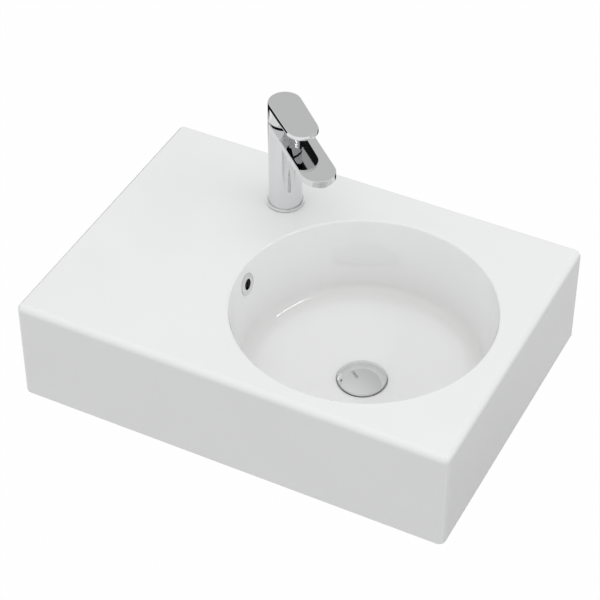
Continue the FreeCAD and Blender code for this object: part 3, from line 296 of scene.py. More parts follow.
@dataclass(frozen=True)
class GlazedCeramic(Finish):
    """White glaze over fired clay: glossy outside, thin under the shelf, none on the wall face and the foot."""

    glaze: tuple = rgb(0.88, 0.884, 0.886)
    # painted shade: the grey that the bowl's wall is painted towards its foot
    painted_bowl_shade: tuple = rgb(0.81, 0.81, 0.802)
    thin: tuple = rgb(0.80, 0.785, 0.755)
    bisque: tuple = rgb(0.72, 0.69, 0.63)
    roughness: float = 0.018
    index: float = 1.9
    bowl_axis: tuple = (0.0975, -0.232)
    bowl_radius: float = 0.176
    bowl_depth: float = 0.129
    bowl_wall: float = 0.0115
    wall_lean: float = 8.5
    floor_slope: float = 7.0

    def in_bowl(self, graph: Graph, z: Value, deck: float) -> Value:
        """One inside the bowl and nought under it.

        Args:
            graph: Node tree of the material.
            z: Height of the point.
            deck: Height of the deck.

        Returns:
            The mask.
        """
        off = graph.off_axis(*self.bowl_axis)
        half = self.bowl_wall / 2
        spread = off + (deck - z) * math.tan(math.radians(self.wall_lean))
        rise = z - off * math.tan(math.radians(self.floor_slope))
        edge = self.bowl_radius + half
        bed = deck - self.bowl_depth - half
        return (1 - spread.ease(edge - 0.001, edge + 0.001)) * rise.ease(bed - 0.006, bed - 0.004)

    def surface(self, graph: Graph) -> dict[str, Operand]:
        """Glossy wavy glaze, painted shade that greys the bowl's wall towards its foot, a sprayed thin coat in the
        hollow and matte clay where no glaze runs.

        Args:
            graph: Node tree of the material.

        Returns:
            Socket name to value or link.
        """
        low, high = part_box("basin_body")
        x, y, z = graph.split(graph.place())
        bare = y.ease(-0.0004, -0.0001).most(1 - z.ease(low.z + 0.0006, low.z + 0.0016))
        shell = abs(x).ease(high.x - 0.006, high.x - 0.004).most(1 - y.ease(low.y + 0.004, low.y + 0.006))
        shell = shell.most(z.ease(high.z - 0.007, high.z - 0.005))
        bowl = self.in_bowl(graph, z, high.z)
        hollow = 1 - shell.most(bowl)
        steep = graph.off_axis(*self.bowl_axis).ease(self.bowl_radius - 0.045, self.bowl_radius - 0.02)
        # painted shade: darker down the bowl, most on the steep wall
        painted_bowl_shade = bowl * (high.z - z).ease(0.03, self.bowl_depth) * (0.25 + steep * 0.75)
        matte = bare.most(hollow * 0.55)
        cloud = graph.noise(0.11, 3)
        peel = graph.noise(0.0035, 1) + graph.noise(0.03, 1) * 3
        spray = graph.noise(0.0016, 3)
        grain = graph.noise(0.0006, 2)
        tint = graph.mix(cloud.ease(0.3, 0.7), self.glaze, dimmed(self.glaze, 0.985))
        tint = graph.mix(painted_bowl_shade, tint, self.painted_bowl_shade)
        coat = graph.mix(hollow * (0.55 + spray * 0.6), tint, self.thin)
        height = peel * (1 - matte) * 0.25 + grain * bare + spray * hollow * 1.5
        return {
            "Base Color": graph.mix(bare, coat, self.bisque),
            "IOR": self.index,
            "Roughness": self.roughness + cloud * 0.02 + matte * 0.72,
            "Normal": graph.bump(height, 0.00002),
        }


@dataclass(frozen=True)
class PolishedChrome(Finish):
    """Mirror plating with a trace of polishing waves and wiping."""

    colour: tuple = rgb(0.76, 0.764, 0.77)
    roughness: float = 0.03

    def surface(self, graph: Graph) -> dict[str, Operand]:
        """A mirror that is a little duller in soft patches.

        Args:
            graph: Node tree of the material.

        Returns:
            Socket name to value or link.
        """
        wiped = graph.noise(0.012, 3, (1, 1, 4)).ease(0.45, 0.75)
        wave = graph.noise(0.02, 1)
        return {
            "Base Color": self.colour,
            "Metallic": 1.0,
            "Roughness": self.roughness + wiped * 0.035,
            "Normal": graph.bump(wave, 0.00001),
        }


@dataclass(frozen=True)
class Rubber(Finish):
    """Matte moulded rubber with a fine bloom."""

    colour: tuple = rgb(0.018, 0.018, 0.019)
    bloom: tuple = rgb(0.05, 0.05, 0.05)

    def surface(self, graph: Graph) -> dict[str, Operand]:
        """Dark grey with paler bloom and a fine grain.

        Args:
            graph: Node tree of the material.

        Returns:
            Socket name to value or link.
        """
        patch = graph.noise(0.006, 3)
        return {
            "Base Color": graph.mix(patch.ease(0.4, 0.8), self.colour, self.bloom),
            "Roughness": 0.62 + patch * 0.2,
            "Normal": graph.bump(graph.noise(0.0004, 1), 0.00003),
        }


@dataclass(frozen=True)
class MouldedPlastic(Finish):
    """Moulded plastic with a spark-eroded grain."""

    colour: tuple = rgb(0.8, 0.79, 0.76)
    roughness: float = 0.35

    def surface(self, graph: Graph) -> dict[str, Operand]:
        """A slightly uneven colour with a fine grain.

        Args:
            graph: Node tree of the material.

        Returns:
            Socket name to value or link.
        """
        patch = graph.noise(0.008, 2)
        return {
            "Base Color": graph.mix(patch, self.colour, dimmed(self.colour, 0.9)),
            "Roughness": self.roughness + patch * 0.15,
            "Normal": graph.bump(graph.noise(0.0005, 1), 0.00002),
        }


@dataclass(frozen=True)
class TurnedMetal(Finish):
    """Bare metal with fine turning marks round the upright axis."""

    colour: tuple = rgb(0.6, 0.6, 0.6)
    tarnish: tuple = rgb(0.4, 0.4, 0.4)
    roughness: float = 0.28

    def surface(self, graph: Graph) -> dict[str, Operand]:
        """Metal with tarnish clouds and level turning lines.

        Args:
            graph: Node tree of the material.

        Returns:
            Socket name to value or link.
        """
        lines = graph.noise(0.0003, 1, (80, 80, 1))
        cloud = graph.noise(0.009, 3).ease(0.35, 0.75)
        return {
            "Base Color": graph.mix(cloud, self.colour, self.tarnish),
            "Metallic": 1.0,
            "Roughness": self.roughness + lines * 0.15 + cloud * 0.1,
            "Normal": graph.bump(lines, 0.00001),
        }


@dataclass(frozen=True)
class LappedDisc(Finish):
    """Dense sintered ceramic, lapped flat."""

    colour: tuple = rgb(0.78, 0.76, 0.70)
    speckle: tuple = rgb(0.70, 0.68, 0.62)

    def surface(self, graph: Graph) -> dict[str, Operand]:
        """Cream ceramic with a fine speckle.

        Args:
            graph: Node tree of the material.

        Returns:
            Socket name to value or link.
        """
        speck = graph.noise(0.0008, 2)
        return {
            "Base Color": graph.mix(speck, self.colour, self.speckle),
            "Roughness": 0.22 + speck * 0.12,
            "Normal": graph.bump(speck, 0.000004),
        }


FINISHES = {
    Slot.GLAZE: GlazedCeramic(Slot.GLAZE),
    Slot.CHROME: PolishedChrome(Slot.CHROME),
    Slot.RUBBER: Rubber(Slot.RUBBER),
    Slot.WHITE_PLASTIC: MouldedPlastic(Slot.WHITE_PLASTIC),
    Slot.BLACK_PLASTIC: MouldedPlastic(Slot.BLACK_PLASTIC, rgb(0.02, 0.02, 0.022), 0.42),
    Slot.BRASS: TurnedMetal(Slot.BRASS, rgb(0.72, 0.52, 0.24), rgb(0.52, 0.35, 0.16)),
    Slot.STEEL: TurnedMetal(Slot.STEEL, rgb(0.56, 0.56, 0.55), rgb(0.42, 0.41, 0.40)),
    Slot.DISC: LappedDisc(Slot.DISC),
}


def slot_of(node: str) -> Slot:
    """The record's slot of a node."""
    rows = {row["node"]: row["material_slot"] for row in frame["record"]["subparts"]}
    return Slot(rows[node])


def upright(node: str) -> tuple[Vector, float, float]:
    """Where a node of even shape stands.

    Args:
        node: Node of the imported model.

    Returns:
        The middle of its box, its lowest and its highest height.
    """
    low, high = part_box(node)
    return (low + high) / 2, low.z, high.z


def stand_in(node: str, data: bpy.types.Mesh, body: str) -> bpy.types.Object:
    """Make the object of a finished mesh, let it ride on its body and hide the node that it stands for.

    Args:
        node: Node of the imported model.
        data: The mesh, in the frame that the node was built in.
        body: Body of the record that carries the piece.

    Returns:
        The dressed object.
    """
    data.name = node + "_detailed"
    piece = bpy.data.objects.new(data.name, data)
    bpy.context.scene.collection.objects.link(piece)
    slot = slot_of(node)
    data.materials.clear()
    data.materials.append(FINISHES[slot].material())
    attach(piece, body)
    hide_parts(node)
    LOG.info("built %s in place of %s", piece.name, node)
    return piece


class Shaper:
    """Gathers the faces of one mesh piece and makes the object that stands for a node."""

    def __init__(self, node: str) -> None:
        """Start an empty mesh that will stand for a node."""
        self.node = node
        self.mesh = bmesh.new()

    def skin(self, rows: Sequence[Sequence[Vector]], closed: bool = False) -> list[list[bmesh.types.BMVert]]:
        """Cover a run of rings with faces.

        Args:
            rows: Rings of points, all with the same count.
            closed: Whether the last ring joins the first.

        Returns:
            The rings' corners.
        """
        made = [[self.mesh.verts.new(point) for point in row] for row in rows]
        after = made[1:] + made[:1] if closed else made[1:]
        for ring, following in zip(made, after):
            for at in range(len(ring)):
                beside = (at + 1) % len(ring)
                self.mesh.faces.new((ring[at], ring[beside], following[beside], following[at]))
        return made

    def keep(self, drop: Callable[[Vector], bool]) -> None:
        """Take over the node's own faces, but for some.

        Args:
            drop: Says of a corner whether it belongs to the part that is made anew.
        """
        self.mesh.from_mesh(frame["nodes"][self.node].data)
        gone = [face for face in self.mesh.faces if all(drop(corner.co) for corner in face.verts)]
        bmesh.ops.delete(self.mesh, geom=gone, context="FACES")

    def finish(self, body: str, turn: float = 35.0) -> bpy.types.Object:
        """Make the object, let it ride on its body and hide the node.

        Args:
            body: Body of the record that carries the piece.
            turn: Angle in degrees above which an edge stays sharp.

        Returns:
            The dressed object.
        """
        bmesh.ops.recalc_face_normals(self.mesh, faces=self.mesh.faces[:])
        data = bpy.data.meshes.new(self.node)
        self.mesh.to_mesh(data)
        self.mesh.free()
        data.shade_smooth()
        data.set_sharp_from_angle(angle=math.radians(turn))
        return stand_in(self.node, data, body)


def ring_of(middle: Vector, height: float, radii: Sequence[float], start: float = 0.0) -> list[Vector]:
    """A level ring of points.

    Args:
        middle: A point on its axis.
        height: Height of the ring.
        radii: Radius at each point, evenly spread round the axis.
        start: Angle of the first point in degrees.

    Returns:
        The points.
    """
    step = math.tau / len(radii)
    first = math.radians(start)
    angles = [first + step * at for at in range(len(radii))]
    return [Vector((middle.x + r * math.cos(a), middle.y + r * math.sin(a), height)) for r, a in zip(radii, angles)]


@dataclass(frozen=True)
class Thread:
    """A right-hand screw thread with a vee groove."""

    crest: float
    depth: float
    pitch: float
    fade: float
    facets: int = 96
    steps: int = 10

    def rows(self, middle: Vector, low: float, high: float) -> list[list[Vector]]:
        """The threaded surface between two heights, running out at both ends.

        Args:
            middle: A point on the axis.
            low: Height of the lower end.
            high: Height of the upper end.

        Returns:
            Rings of points from low to high.
        """
        count = max(2, round((high - low) / self.pitch * self.steps))
        rings = []
        for index in range(count + 1):
            rise = (high - low) * index / count
            share = min(1.0, min(rise, high - low - rise) / self.fade)
            turns = [(rise / self.pitch - at / self.facets) % 1.0 for at in range(self.facets)]
            cuts = [max(0.0, min(1.0, 1.25 - abs(2 * turn - 1) * 1.5)) for turn in turns]
            rings.append(ring_of(middle, low + rise, [self.crest - self.depth * share * cut for cut in cuts]))
        return rings


@dataclass(frozen=True)
class HexNut:
    """A six-sided nut with chamfered corners and, on some, a round flange."""

    across_flats: float
    bore: float
    chamfer: float = 30.0
    flange_radius: float = 0.0
    flange_height: float = 0.0
    facets: int = 96
    bevel_rings: int = 7
    face_share: float = 0.97
    lip_share: float = 0.04
    flange_round: float = 0.2

    def corner(self, at: int) -> float:
        """The radius of the hexagon at one facet."""
        turn = (360.0 * at / self.facets) % 60.0 - 30.0
        return self.across_flats / 2 / math.cos(math.radians(turn))

    def side(self, middle: Vector, edge: float, inward: float, start: float) -> list[list[Vector]]:
        """The rings of one chamfered end, from the washer face to the full corners.

        Args:
            middle: A point on the axis.
            edge: Height of the end.
            inward: 1 where the nut lies above the end, -1 where it lies below.
            start: Angle of the first corner in degrees.

        Returns:
            Rings from the end inwards.
        """
        face = self.across_flats / 2 * self.face_share
        reach = self.across_flats / math.sqrt(3) - face
        fall = math.tan(math.radians(self.chamfer))
        rings = []
        for index in range(self.bevel_rings + 1):
            out = reach * index / self.bevel_rings
            radii = [min(face + out, self.corner(at)) for at in range(self.facets)]
            rings.append(ring_of(middle, edge + inward * out * fall, radii, start))
        return rings

    def rows(self, middle: Vector, low: float, high: float, start: float) -> list[list[Vector]]:
        """The whole nut as rings from its bore round the outside and back.

        Args:
            middle: A point on the axis.
            low: Height of the lower end.
            high: Height of the upper end.
            start: Angle of the first corner in degrees.

        Returns:
            Rings that close on themselves.
        """
        inner = [self.bore] * self.facets
        lip = self.bore * self.lip_share
        mouth = [self.bore + lip] * self.facets
        rings = [ring_of(middle, low + lip, inner, start), ring_of(middle, low, mouth, start)]
        rings += self.side(middle, low, 1.0, start)
        if self.flange_radius:
            brim = high - self.flange_height
            round_off = self.flange_height * self.flange_round
            wide = [self.flange_radius] * self.facets
            near = [self.flange_radius - round_off] * self.facets
            rings.append(ring_of(middle, brim, [self.corner(at) for at in range(self.facets)], start))
            rings.append(ring_of(middle, brim, near, start))
            rings.append(ring_of(middle, brim + round_off, wide, start))
            rings.append(ring_of(middle, high - round_off, wide, start))
            rings.append(ring_of(middle, high, near, start))
        else:
            rings += reversed(self.side(middle, high, -1.0, start))
        rings += [ring_of(middle, high, mouth, start), ring_of(middle, high - lip, inner, start)]
        return rings


@dataclass(frozen=True)
class Leg:
    """A straight stretch of a turned line, in radius and height."""

    start: Vector
    end: Vector
    lean: float

    def at(self, share: float) -> tuple[Vector, float]:
        """The place at a share of the stretch, and how far the surface leans there."""
        return self.start.lerp(self.end, share), self.lean

    def share_of(self, spot: Vector) -> float:
        """The share of the stretch that lies nearest to a spot."""
        run = self.end - self.start
        return min(1.0, max(0.0, (spot - self.start).dot(run) / run.length_squared))


@dataclass(frozen=True)
class Arc:
    """A round stretch of a turned line, hollow where its radius is below nought."""

    centre: Vector
    radius: float
    first: float
    last: float

    def at(self, share: float) -> tuple[Vector, float]:
        """The place at a share of the stretch, and how far the surface leans there."""
        lean = self.first + (self.last - self.first) * share
        return self.centre + Vector((-math.sin(lean), math.cos(lean))) * self.radius, lean

    def share_of(self, spot: Vector) -> float:
        """The share of the stretch that lies nearest to a spot."""
        arm = (spot - self.centre) / self.radius
        return min(1.0, max(0.0, (math.atan2(-arm.x, arm.y) - self.first) / (self.last - self.first)))


@dataclass(frozen=True)
class BowlLine:
    """The line from the bowl's mouth down to the waste's seat, which turns about the bowl's axis."""

    radius: float
    rim_round: float
    lean: float
    recess_radius: float
    foot_round: float = 0.022
    floor_slope: float = 7.0
    floor_start: tuple = (0.037, -0.129)
    seat: tuple = (0.033, -0.133)
    nearness: float = 0.0002

    def wall_top(self) -> Vector:
        """Where the rim's round meets the wall, in radius and height from the deck."""
        return Vector((self.radius, self.rim_round * (math.sin(math.radians(self.lean)) - 1)))

    def radius_at(self, height: float) -> float:
        """The wall's radius at a height from the deck."""
        return self.radius + (height - self.wall_top().y) * math.tan(math.radians(self.lean))

    def stretches(self) -> tuple[Arc, Leg, Arc, Leg, Leg]:
        """The line in order.

        Returns:
            The rim's round, the wall, the foot's round, the floor and the recess.
        """
        steep = math.pi / 2 - math.radians(self.lean)
        flat = math.radians(self.floor_slope)
        off_wall = Vector((-math.sin(steep), math.cos(steep)))
        off_floor = Vector((-math.sin(flat), math.cos(flat)))
        top, start = self.wall_top(), Vector(self.floor_start)
        rim = top - off_wall * self.rim_round
        from_wall = self.foot_round + off_wall.dot(top)
        from_floor = self.foot_round + off_floor.dot(start)
        cross = off_wall.x * off_floor.y - off_floor.x * off_wall.y
        foot = Vector((from_wall * off_floor.y - from_floor * off_wall.y,
                       off_wall.x * from_floor - off_floor.x * from_wall)) / cross
        edge = Vector((self.recess_radius, start.y + (self.recess_radius - start.x) * math.tan(flat)))
        return (
            Arc(rim, self.rim_round, 0.0, steep),
            Leg(top, foot - off_wall * self.foot_round, steep),
            Arc(foot, -self.foot_round, steep, flat),
            Leg(foot - off_floor * self.foot_round, edge, flat),
            Leg(edge, Vector(self.seat), flat))

    def refit(self, spot: Vector, other: "BowlLine") -> Optional[tuple[Vector, float]]:
        """Carry a spot on this line to the same place on another.

        Args:
            spot: Radius and height from the deck.
            other: The line to carry it to.

        Returns:
            The new spot and the angle by which the surface turns there, or None for a spot off the line.
        """
        for here, there in zip(self.stretches(), other.stretches()):
            share = here.share_of(spot)
            place, lean = here.at(share)
            if (place - spot).length < self.nearness:
                target, tilt = there.at(share)
                return target, tilt - lean
        return None


@dataclass(frozen=True)
class SubAssembly:
    """Some nodes that are put together before they meet the rest."""

    nodes: ClassVar[tuple[str, ...]] = ()

    def build(self) -> None:
        """Make the pieces that stand for nodes; most sub-assemblies have none."""

    def dress(self) -> None:
        """Give each carried-over node the finish of its slot."""
        for name in self.nodes:
            piece = frame["nodes"][name]
            slot = slot_of(name)
            piece.data.materials.clear()
            piece.data.materials.append(FINISHES[slot].material())
            LOG.info("dressed %s as %s", name, slot.value)


@dataclass(frozen=True)
class Basin(SubAssembly):
    """The ceramic block and the ring of its overflow."""

    nodes: ClassVar[tuple[str, ...]] = ("basin_body", "overflow_ring")
    bowl_axis: tuple = (0.0975, -0.232)
    cast_line: BowlLine = BowlLine(0.1725, 0.005, 6.0, 0.037)
    glazed_line: BowlLine = BowlLine(0.176, 0.003, 8.5, 0.035)
    seat_radius: float = 0.0168
    seat_height: float = 0.008

    def ring_move(self) -> Matrix:
        """How the overflow's ring and its seat are set back and tilted with the bowl's wall.

        Returns:
            The move from the cast line to the glazed line.
        """
        middle, _, _ = upright("overflow_ring")
        _, _, deck = upright("basin_body")
        height = middle.z - deck
        back = self.cast_line.radius_at(height) - self.glazed_line.radius_at(height)
        tilt = math.radians(self.cast_line.lean - self.glazed_line.lean)
        there = Matrix.Translation(middle + Vector((back, 0.0, 0.0)))
        return there @ Matrix.Rotation(tilt, 4, "Y") @ Matrix.Translation(-middle)

    def on_ring_seat(self, arm: Vector) -> bool:
        """Whether a corner of the block belongs to the seat of the overflow's ring.

        Args:
            arm: The way to the corner from the middle of the ring.

        Returns:
            True on the seat.
        """
        lean = math.radians(self.cast_line.lean)
        axis = Vector((math.cos(lean), 0.0, math.sin(lean)))
        along = arm.dot(axis)
        return 0.0 < along < self.seat_height and (arm - axis * along).length < self.seat_radius

    def build_body(self) -> None:
        """The ceramic block with its bowl turned to the glazed line."""
        data = frame["nodes"]["basin_body"].data.copy()
        deck = Vector((*self.bowl_axis, upright("basin_body")[2]))
        ring, _, _ = upright("overflow_ring")
        normals = [corner.vector.copy() for corner in data.corner_normals]
        turned = {}
        ring_move = self.ring_move()
        for vertex in data.vertices:
            if self.on_ring_seat(vertex.co - ring):
                vertex.co = ring_move @ vertex.co
                turned[vertex.index] = ring_move.to_3x3()
                continue
            arm = vertex.co - deck
            spot = Vector((math.hypot(arm.x, arm.y), arm.z))
            fitted = self.cast_line.refit(spot, self.glazed_line)
            if fitted:
                target, tilt = fitted
                out = Vector((arm.x, arm.y, 0.0)).normalized()
                vertex.co = deck + out * target.x + Vector((0.0, 0.0, target.y))
                turned[vertex.index] = Matrix.Rotation(-tilt, 3, Vector((-out.y, out.x, 0.0)))
        for corner in data.loops:
            if corner.vertex_index in turned:
                normals[corner.index] = turned[corner.vertex_index] @ normals[corner.index]
        data.normals_split_custom_set(normals)
        stand_in("basin_body", data, "basin")

    def build_ring(self) -> None:
        """The overflow's ring, set back and tilted with the bowl's wall."""
        data = frame["nodes"]["overflow_ring"].data.copy()
        data.transform(self.ring_move())
        stand_in("overflow_ring", data, "basin")

    def build(self) -> None:
        """The block and the ring in its wall."""
        self.build_body()
        self.build_ring()


@dataclass(frozen=True)
class Waste(SubAssembly):
    """The press-to-close waste with its threaded tail and back nut."""

    nodes: ClassVar[tuple[str, ...]] = (
        "waste_body", "waste_flange_seal", "waste_cone_seal", "waste_slip_washer", "waste_back_nut",
        "press_cartridge", "press_spring", "cover_stem", "waste_cover", "cover_seal")
    tail_radius: float = 0.02095
    tail_end: float = 0.027
    pitch: float = 0.002309
    groove: float = 0.0013
    nut_across_flats: float = 0.052
    nut_bore: float = 0.021
    nut_flange: float = 0.031
    nut_flange_height: float = 0.003
    cover_radius: float = 0.0333
    cover_edge: float = 0.0025
    cover_rise: float = 0.011
    seal_thickness: float = 0.0024
    groove_radius: float = 0.015
    plug_radius: float = 0.0162
    socket_radius: float = 0.00305
    cover_facets: int = 96
    dome_rings: int = 24

    def build_tail(self) -> None:
        """The waste's body with a real thread on the free end of its tail."""
        middle, low, _ = upright("waste_body")
        high = low + self.tail_end
        grain = 0.00002

        def on_free_end(corner: Vector) -> bool:
            """Whether a corner lies on the free end's outside."""
            off = math.hypot(corner.x - middle.x, corner.y - middle.y)
            return abs(off - self.tail_radius) < grain and low - grain < corner.z < high + grain

        shaper = Shaper("waste_body")
        shaper.keep(on_free_end)
        thread = Thread(self.tail_radius, self.groove, self.pitch, self.pitch)
        shaper.skin(thread.rows(middle, low, high))
        shaper.finish("basin")

    def build_nut(self) -> None:
        """The back nut with chamfered corners and a rounded flange."""
        middle, low, high = upright("waste_back_nut")
        nut = HexNut(self.nut_across_flats, self.nut_bore, 30.0, self.nut_flange, self.nut_flange_height)
        shaper = Shaper("waste_back_nut")
        shaper.skin(nut.rows(middle, low, high, 0.0), closed=True)
        shaper.finish("basin")

    def build_cover(self) -> None:
        """The cover with its full dome and the grooved plug that carries the seal."""
        middle, low, _ = upright("waste_cover")
        _, _, brim = upright("cover_seal")
        edge = brim + self.cover_edge
        ball = (self.cover_radius ** 2 + self.cover_rise ** 2) / (2 * self.cover_rise)
        centre = edge + self.cover_rise - ball
        reach = math.asin(self.cover_radius / ball)
        angles = [reach * step / self.dome_rings for step in range(self.dome_rings, 0, -1)]
        ledge = brim - self.seal_thickness
        outline = [
            (self.socket_radius, brim), (self.socket_radius, low), (self.plug_radius, low), (self.plug_radius, ledge),
            (self.groove_radius, ledge), (self.groove_radius, brim), (self.cover_radius, brim)]
        outline += [(ball * math.sin(angle), centre + ball * math.cos(angle)) for angle in angles]
        shaper = Shaper("waste_cover")
        made = shaper.skin([ring_of(middle, height, [radius] * self.cover_facets) for radius, height in outline])
        shaper.mesh.faces.new(made[0])
        shaper.mesh.faces.new(made[-1])
        shaper.finish("cover")

    def build(self) -> None:
        """The domed cover, the threaded tail and the nut on it."""
        self.build_cover()
        self.build_tail()
        self.build_nut()


@dataclass(frozen=True)
class Tap(SubAssembly):
    """The tap's body, its outlet and its fixing under the deck."""

    nodes: ClassVar[tuple[str, ...]] = (
        "tap_body", "tap_base_ring", "tap_base_seal", "aerator_shell", "aerator_insert", "aerator_washer",
        "tap_stud", "tap_rubber_horseshoe", "tap_steel_horseshoe", "tap_nut")
    heading: float = -41.5
    stud_radius: float = 0.004
    stud_pitch: float = 0.00125
    stud_groove: float = 0.00068
    nut_across_flats: float = 0.013
    nut_bore: float = 0.00405

    def build_stud(self) -> None:
        """The stud with its thread and bevelled ends."""
        middle, low, high = upright("tap_stud")
        thread = Thread(self.stud_radius, self.stud_groove, self.stud_pitch, self.stud_pitch, 32, 8)
        bevel = self.stud_groove
        flat = [self.stud_radius - bevel] * thread.facets
        rows = [ring_of(middle, low, flat)]
        rows += thread.rows(middle, low + bevel, high - bevel)
        rows += [ring_of(middle, high, flat)]
        shaper = Shaper("tap_stud")
        made = shaper.skin(rows)
        shaper.mesh.faces.new(made[0])
        shaper.mesh.faces.new(made[-1])
        shaper.finish("basin")

    def build_nut(self) -> None:
        """The stud's nut with chamfered corners."""
        middle, low, high = upright("tap_nut")
        shaper = Shaper("tap_nut")
        nut = HexNut(self.nut_across_flats, self.nut_bore)
        shaper.skin(nut.rows(middle, low, high, self.heading), closed=True)
        shaper.finish("basin")

    def build(self) -> None:
        """The threaded stud and the nut on it."""
        self.build_stud()
        self.build_nut()


@dataclass(frozen=True)
class Cartridge(SubAssembly):
    """The mixing cartridge inside the tap and the dome over it."""

    nodes: ClassVar[tuple[str, ...]] = (
        "cartridge_base", "cartridge_seals", "cartridge_housing", "fixed_disc", "moving_disc", "disc_carrier",
        "cartridge_rotor", "rotor_pin", "cartridge_nut", "slide_dome")


@dataclass(frozen=True)
class Lever(SubAssembly):
    """The lever with its stem, screw and plug."""

    nodes: ClassVar[tuple[str, ...]] = ("lever_handle", "lever_stem", "lever_screw", "lever_plug")


@dataclass(frozen=True)
class SoftBox:
    """A lamp with a plain lit face."""

    name: str
    place: tuple
    size: tuple
    watts: float


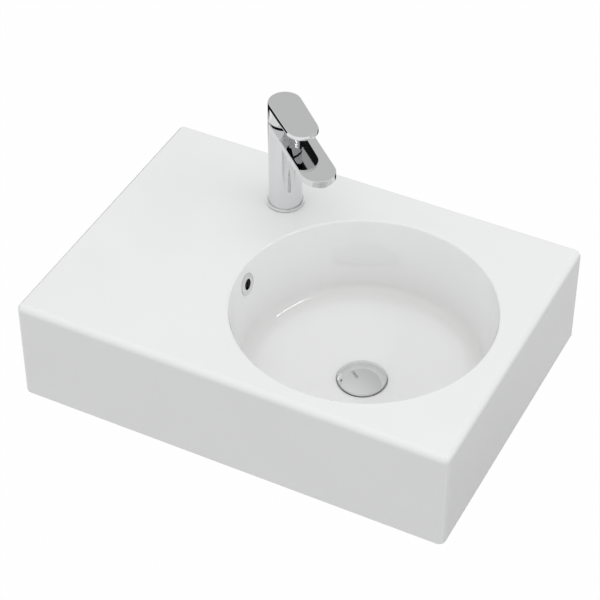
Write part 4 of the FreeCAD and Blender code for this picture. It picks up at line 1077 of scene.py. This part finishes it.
@dataclass(frozen=True)
class Studio:
    """Camera, soft light and a plain pale floor."""

    heading: float = 26.98
    pitch: float = 41.70
    camera_place: tuple = (0.9525, -2.094, 1.895)
    focal_pixels: float = 2123.0
    image_pixels: float = 600.0
    floor_height: float = -0.79
    sky: float = 0.72
    sky_swing: float = 0.16
    horizon: float = 0.25
    skyline: float = 0.3
    bright_side: tuple = (-0.25, -0.97, 0.0)
    floor_tone: float = 0.36
    floor_reach: float = 9.0
    floor_white: float = 0.99
    card_height: float = -0.25
    card_dark: float = 0.012
    card_grey: float = 0.7
    top_box: SoftBox = SoftBox("top_box", (0.1, -0.3, 2.4), (2.4, 2.4), 15.0)
    side_strip: SoftBox = SoftBox("side_strip", (1.96, 0.08, 1.48), (1.5, 0.09), 4.5)
    lamp_aim: tuple = (0.0, -0.22, 0.0)

    def build_camera(self) -> None:
        """A camera at the photograph's angle."""
        heading = math.radians(self.heading)
        pitch = math.radians(self.pitch)
        back = Vector((math.sin(heading) * math.cos(pitch), -math.cos(heading) * math.cos(pitch), math.sin(pitch)))
        lens = bpy.data.cameras.new("camera")
        lens.sensor_width = 36.0
        lens.lens = self.focal_pixels / self.image_pixels * lens.sensor_width
        lens.clip_end = 50.0
        camera = bpy.data.objects.new("camera", lens)
        camera.location = self.camera_place
        camera.rotation_euler = (-back).to_track_quat("-Z", "Y").to_euler()
        bpy.context.scene.collection.objects.link(camera)
        bpy.context.scene.camera = camera

    def build_sky(self) -> None:
        """A soft studio sky, white at the skyline and paler before the basin than behind it."""
        world = bpy.data.worlds.new("studio")
        bpy.context.scene.world = world
        world.use_nodes = True
        graph = Graph(world.node_tree)
        way = graph.add("ShaderNodeTexCoord", output="Generated")
        front = graph.add("ShaderNodeVectorMath", {"operation": "DOT_PRODUCT"}, {0: way, 1: self.bright_side},
                          output="Value")
        up = graph.split(way)[2]
        low = (1 - up.ease(0.0, 0.6)) * self.horizon + (1 - up.ease(0.03, 0.25)) * self.skyline
        colour = graph.mix(self.sky + front * self.sky_swing + low, grey(0.0), grey(1.0))
        shader = graph.add("ShaderNodeBackground", {}, {"Color": colour, "Strength": 1.0})
        graph.node("ShaderNodeOutputWorld", {}, {"Surface": shader})

    def build_lamp(self, box: SoftBox) -> bpy.types.Object:
        """A soft box that faces the basin.

        Args:
            box: Name, place, size and power of the lamp.

        Returns:
            The lamp.
        """
        light = bpy.data.lights.new(box.name, "AREA")
        light.shape = "RECTANGLE"
        light.size, light.size_y = box.size
        light.energy = box.watts
        lamp = bpy.data.objects.new(box.name, light)
        lamp.location = box.place
        aim = Vector(self.lamp_aim) - Vector(box.place)
        lamp.rotation_euler = aim.to_track_quat("-Z", "Y").to_euler()
        bpy.context.scene.collection.objects.link(lamp)
        return lamp

    def build_floor(self) -> None:
        """A wide pale floor far below the basin that keeps a faint shadow."""
        mesh = bpy.data.meshes.new("floor")
        reach = self.floor_reach
        corners = [(-reach, -reach), (reach, -reach), (reach, reach), (-reach, reach)]
        mesh.from_pydata([(x, y, self.floor_height) for x, y in corners], [], [(0, 1, 2, 3)])
        floor = bpy.data.objects.new("floor", mesh)
        bpy.context.scene.collection.objects.link(floor)
        made = bpy.data.materials.new("studio_floor")
        made.use_nodes = True
        graph = Graph(made.node_tree)
        path = graph.node("ShaderNodeLightPath")
        seen = Value(graph, path.outputs["Is Camera Ray"])
        seen = seen.most(Value(graph, path.outputs["Is Glossy Ray"]))
        seen = seen.most(Value(graph, path.outputs["Is Transmission Ray"]))
        matte = graph.add("ShaderNodeBsdfDiffuse", {}, {"Color": grey(self.floor_tone)})
        white = graph.add("ShaderNodeEmission", {}, {"Color": grey(1.0), "Strength": 1.0})
        both = graph.add("ShaderNodeMixShader", {}, {0: seen * self.floor_white, 1: matte, 2: white})
        graph.node("ShaderNodeOutputMaterial", {}, {"Surface": both})
        mesh.materials.append(made)

    def build_card(self) -> None:
        """A level card that only mirrors show: dark behind and on the left, grey on the right, with soft edges."""
        corners = ((-5.0, -3.0), (3.0, -3.0), (3.0, 6.0), (-5.0, 6.0))
        mesh = bpy.data.meshes.new("card")
        mesh.from_pydata([(x, y, self.card_height) for x, y in corners], [], [(0, 1, 2, 3)])
        card = bpy.data.objects.new("card", mesh)
        bpy.context.scene.collection.objects.link(card)
        made = bpy.data.materials.new("card")
        made.use_nodes = True
        graph = Graph(made.node_tree)
        x, y, _ = graph.split(graph.place())
        right = x.ease(0.26, 0.36) * y.ease(-0.48, -0.34)
        behind = y.ease(0.06, 0.2).most((y * 1.6 - x).ease(0.68, 0.76))
        tone = graph.mix(right, grey(self.card_dark), grey(self.card_grey))
        dull = graph.add("ShaderNodeBsdfDiffuse", {}, {"Color": tone})
        clear = graph.add("ShaderNodeBsdfTransparent")
        shader = graph.add("ShaderNodeMixShader", {}, {0: right.most(behind), 1: clear, 2: dull})
        graph.node("ShaderNodeOutputMaterial", {}, {"Surface": shader})
        mesh.materials.append(made)
        card.visible_camera = False
        card.visible_diffuse = False
        card.visible_transmission = False
        card.visible_shadow = False

    def build_glint(self) -> None:
        """A strip lamp on the right that lights the glaze alone."""
        lamp = self.build_lamp(self.side_strip)
        glaze = bpy.data.collections.new("glaze_alone")
        glaze.objects.link(bpy.data.objects["basin_body_detailed"])
        lamp.light_linking.receiver_collection = glaze

    def build(self) -> None:
        """Everything round the object."""
        self.build_camera()
        self.build_sky()
        self.build_card()
        self.build_lamp(self.top_box).visible_glossy = False
        self.build_glint()
        self.build_floor()
        bpy.context.scene.view_settings.view_transform = "Standard"


def main() -> None:
    """Build and dress every sub-assembly, then the studio."""
    logging.basicConfig(level=logging.INFO, format="%(name)s: %(message)s")
    for assembly in (Basin(), Waste(), Tap(), Cartridge(), Lever()):
        assembly.dress()
        assembly.build()
    Studio().build()
    bpy.context.view_layer.update()


if __name__ == "__main__":
    main()
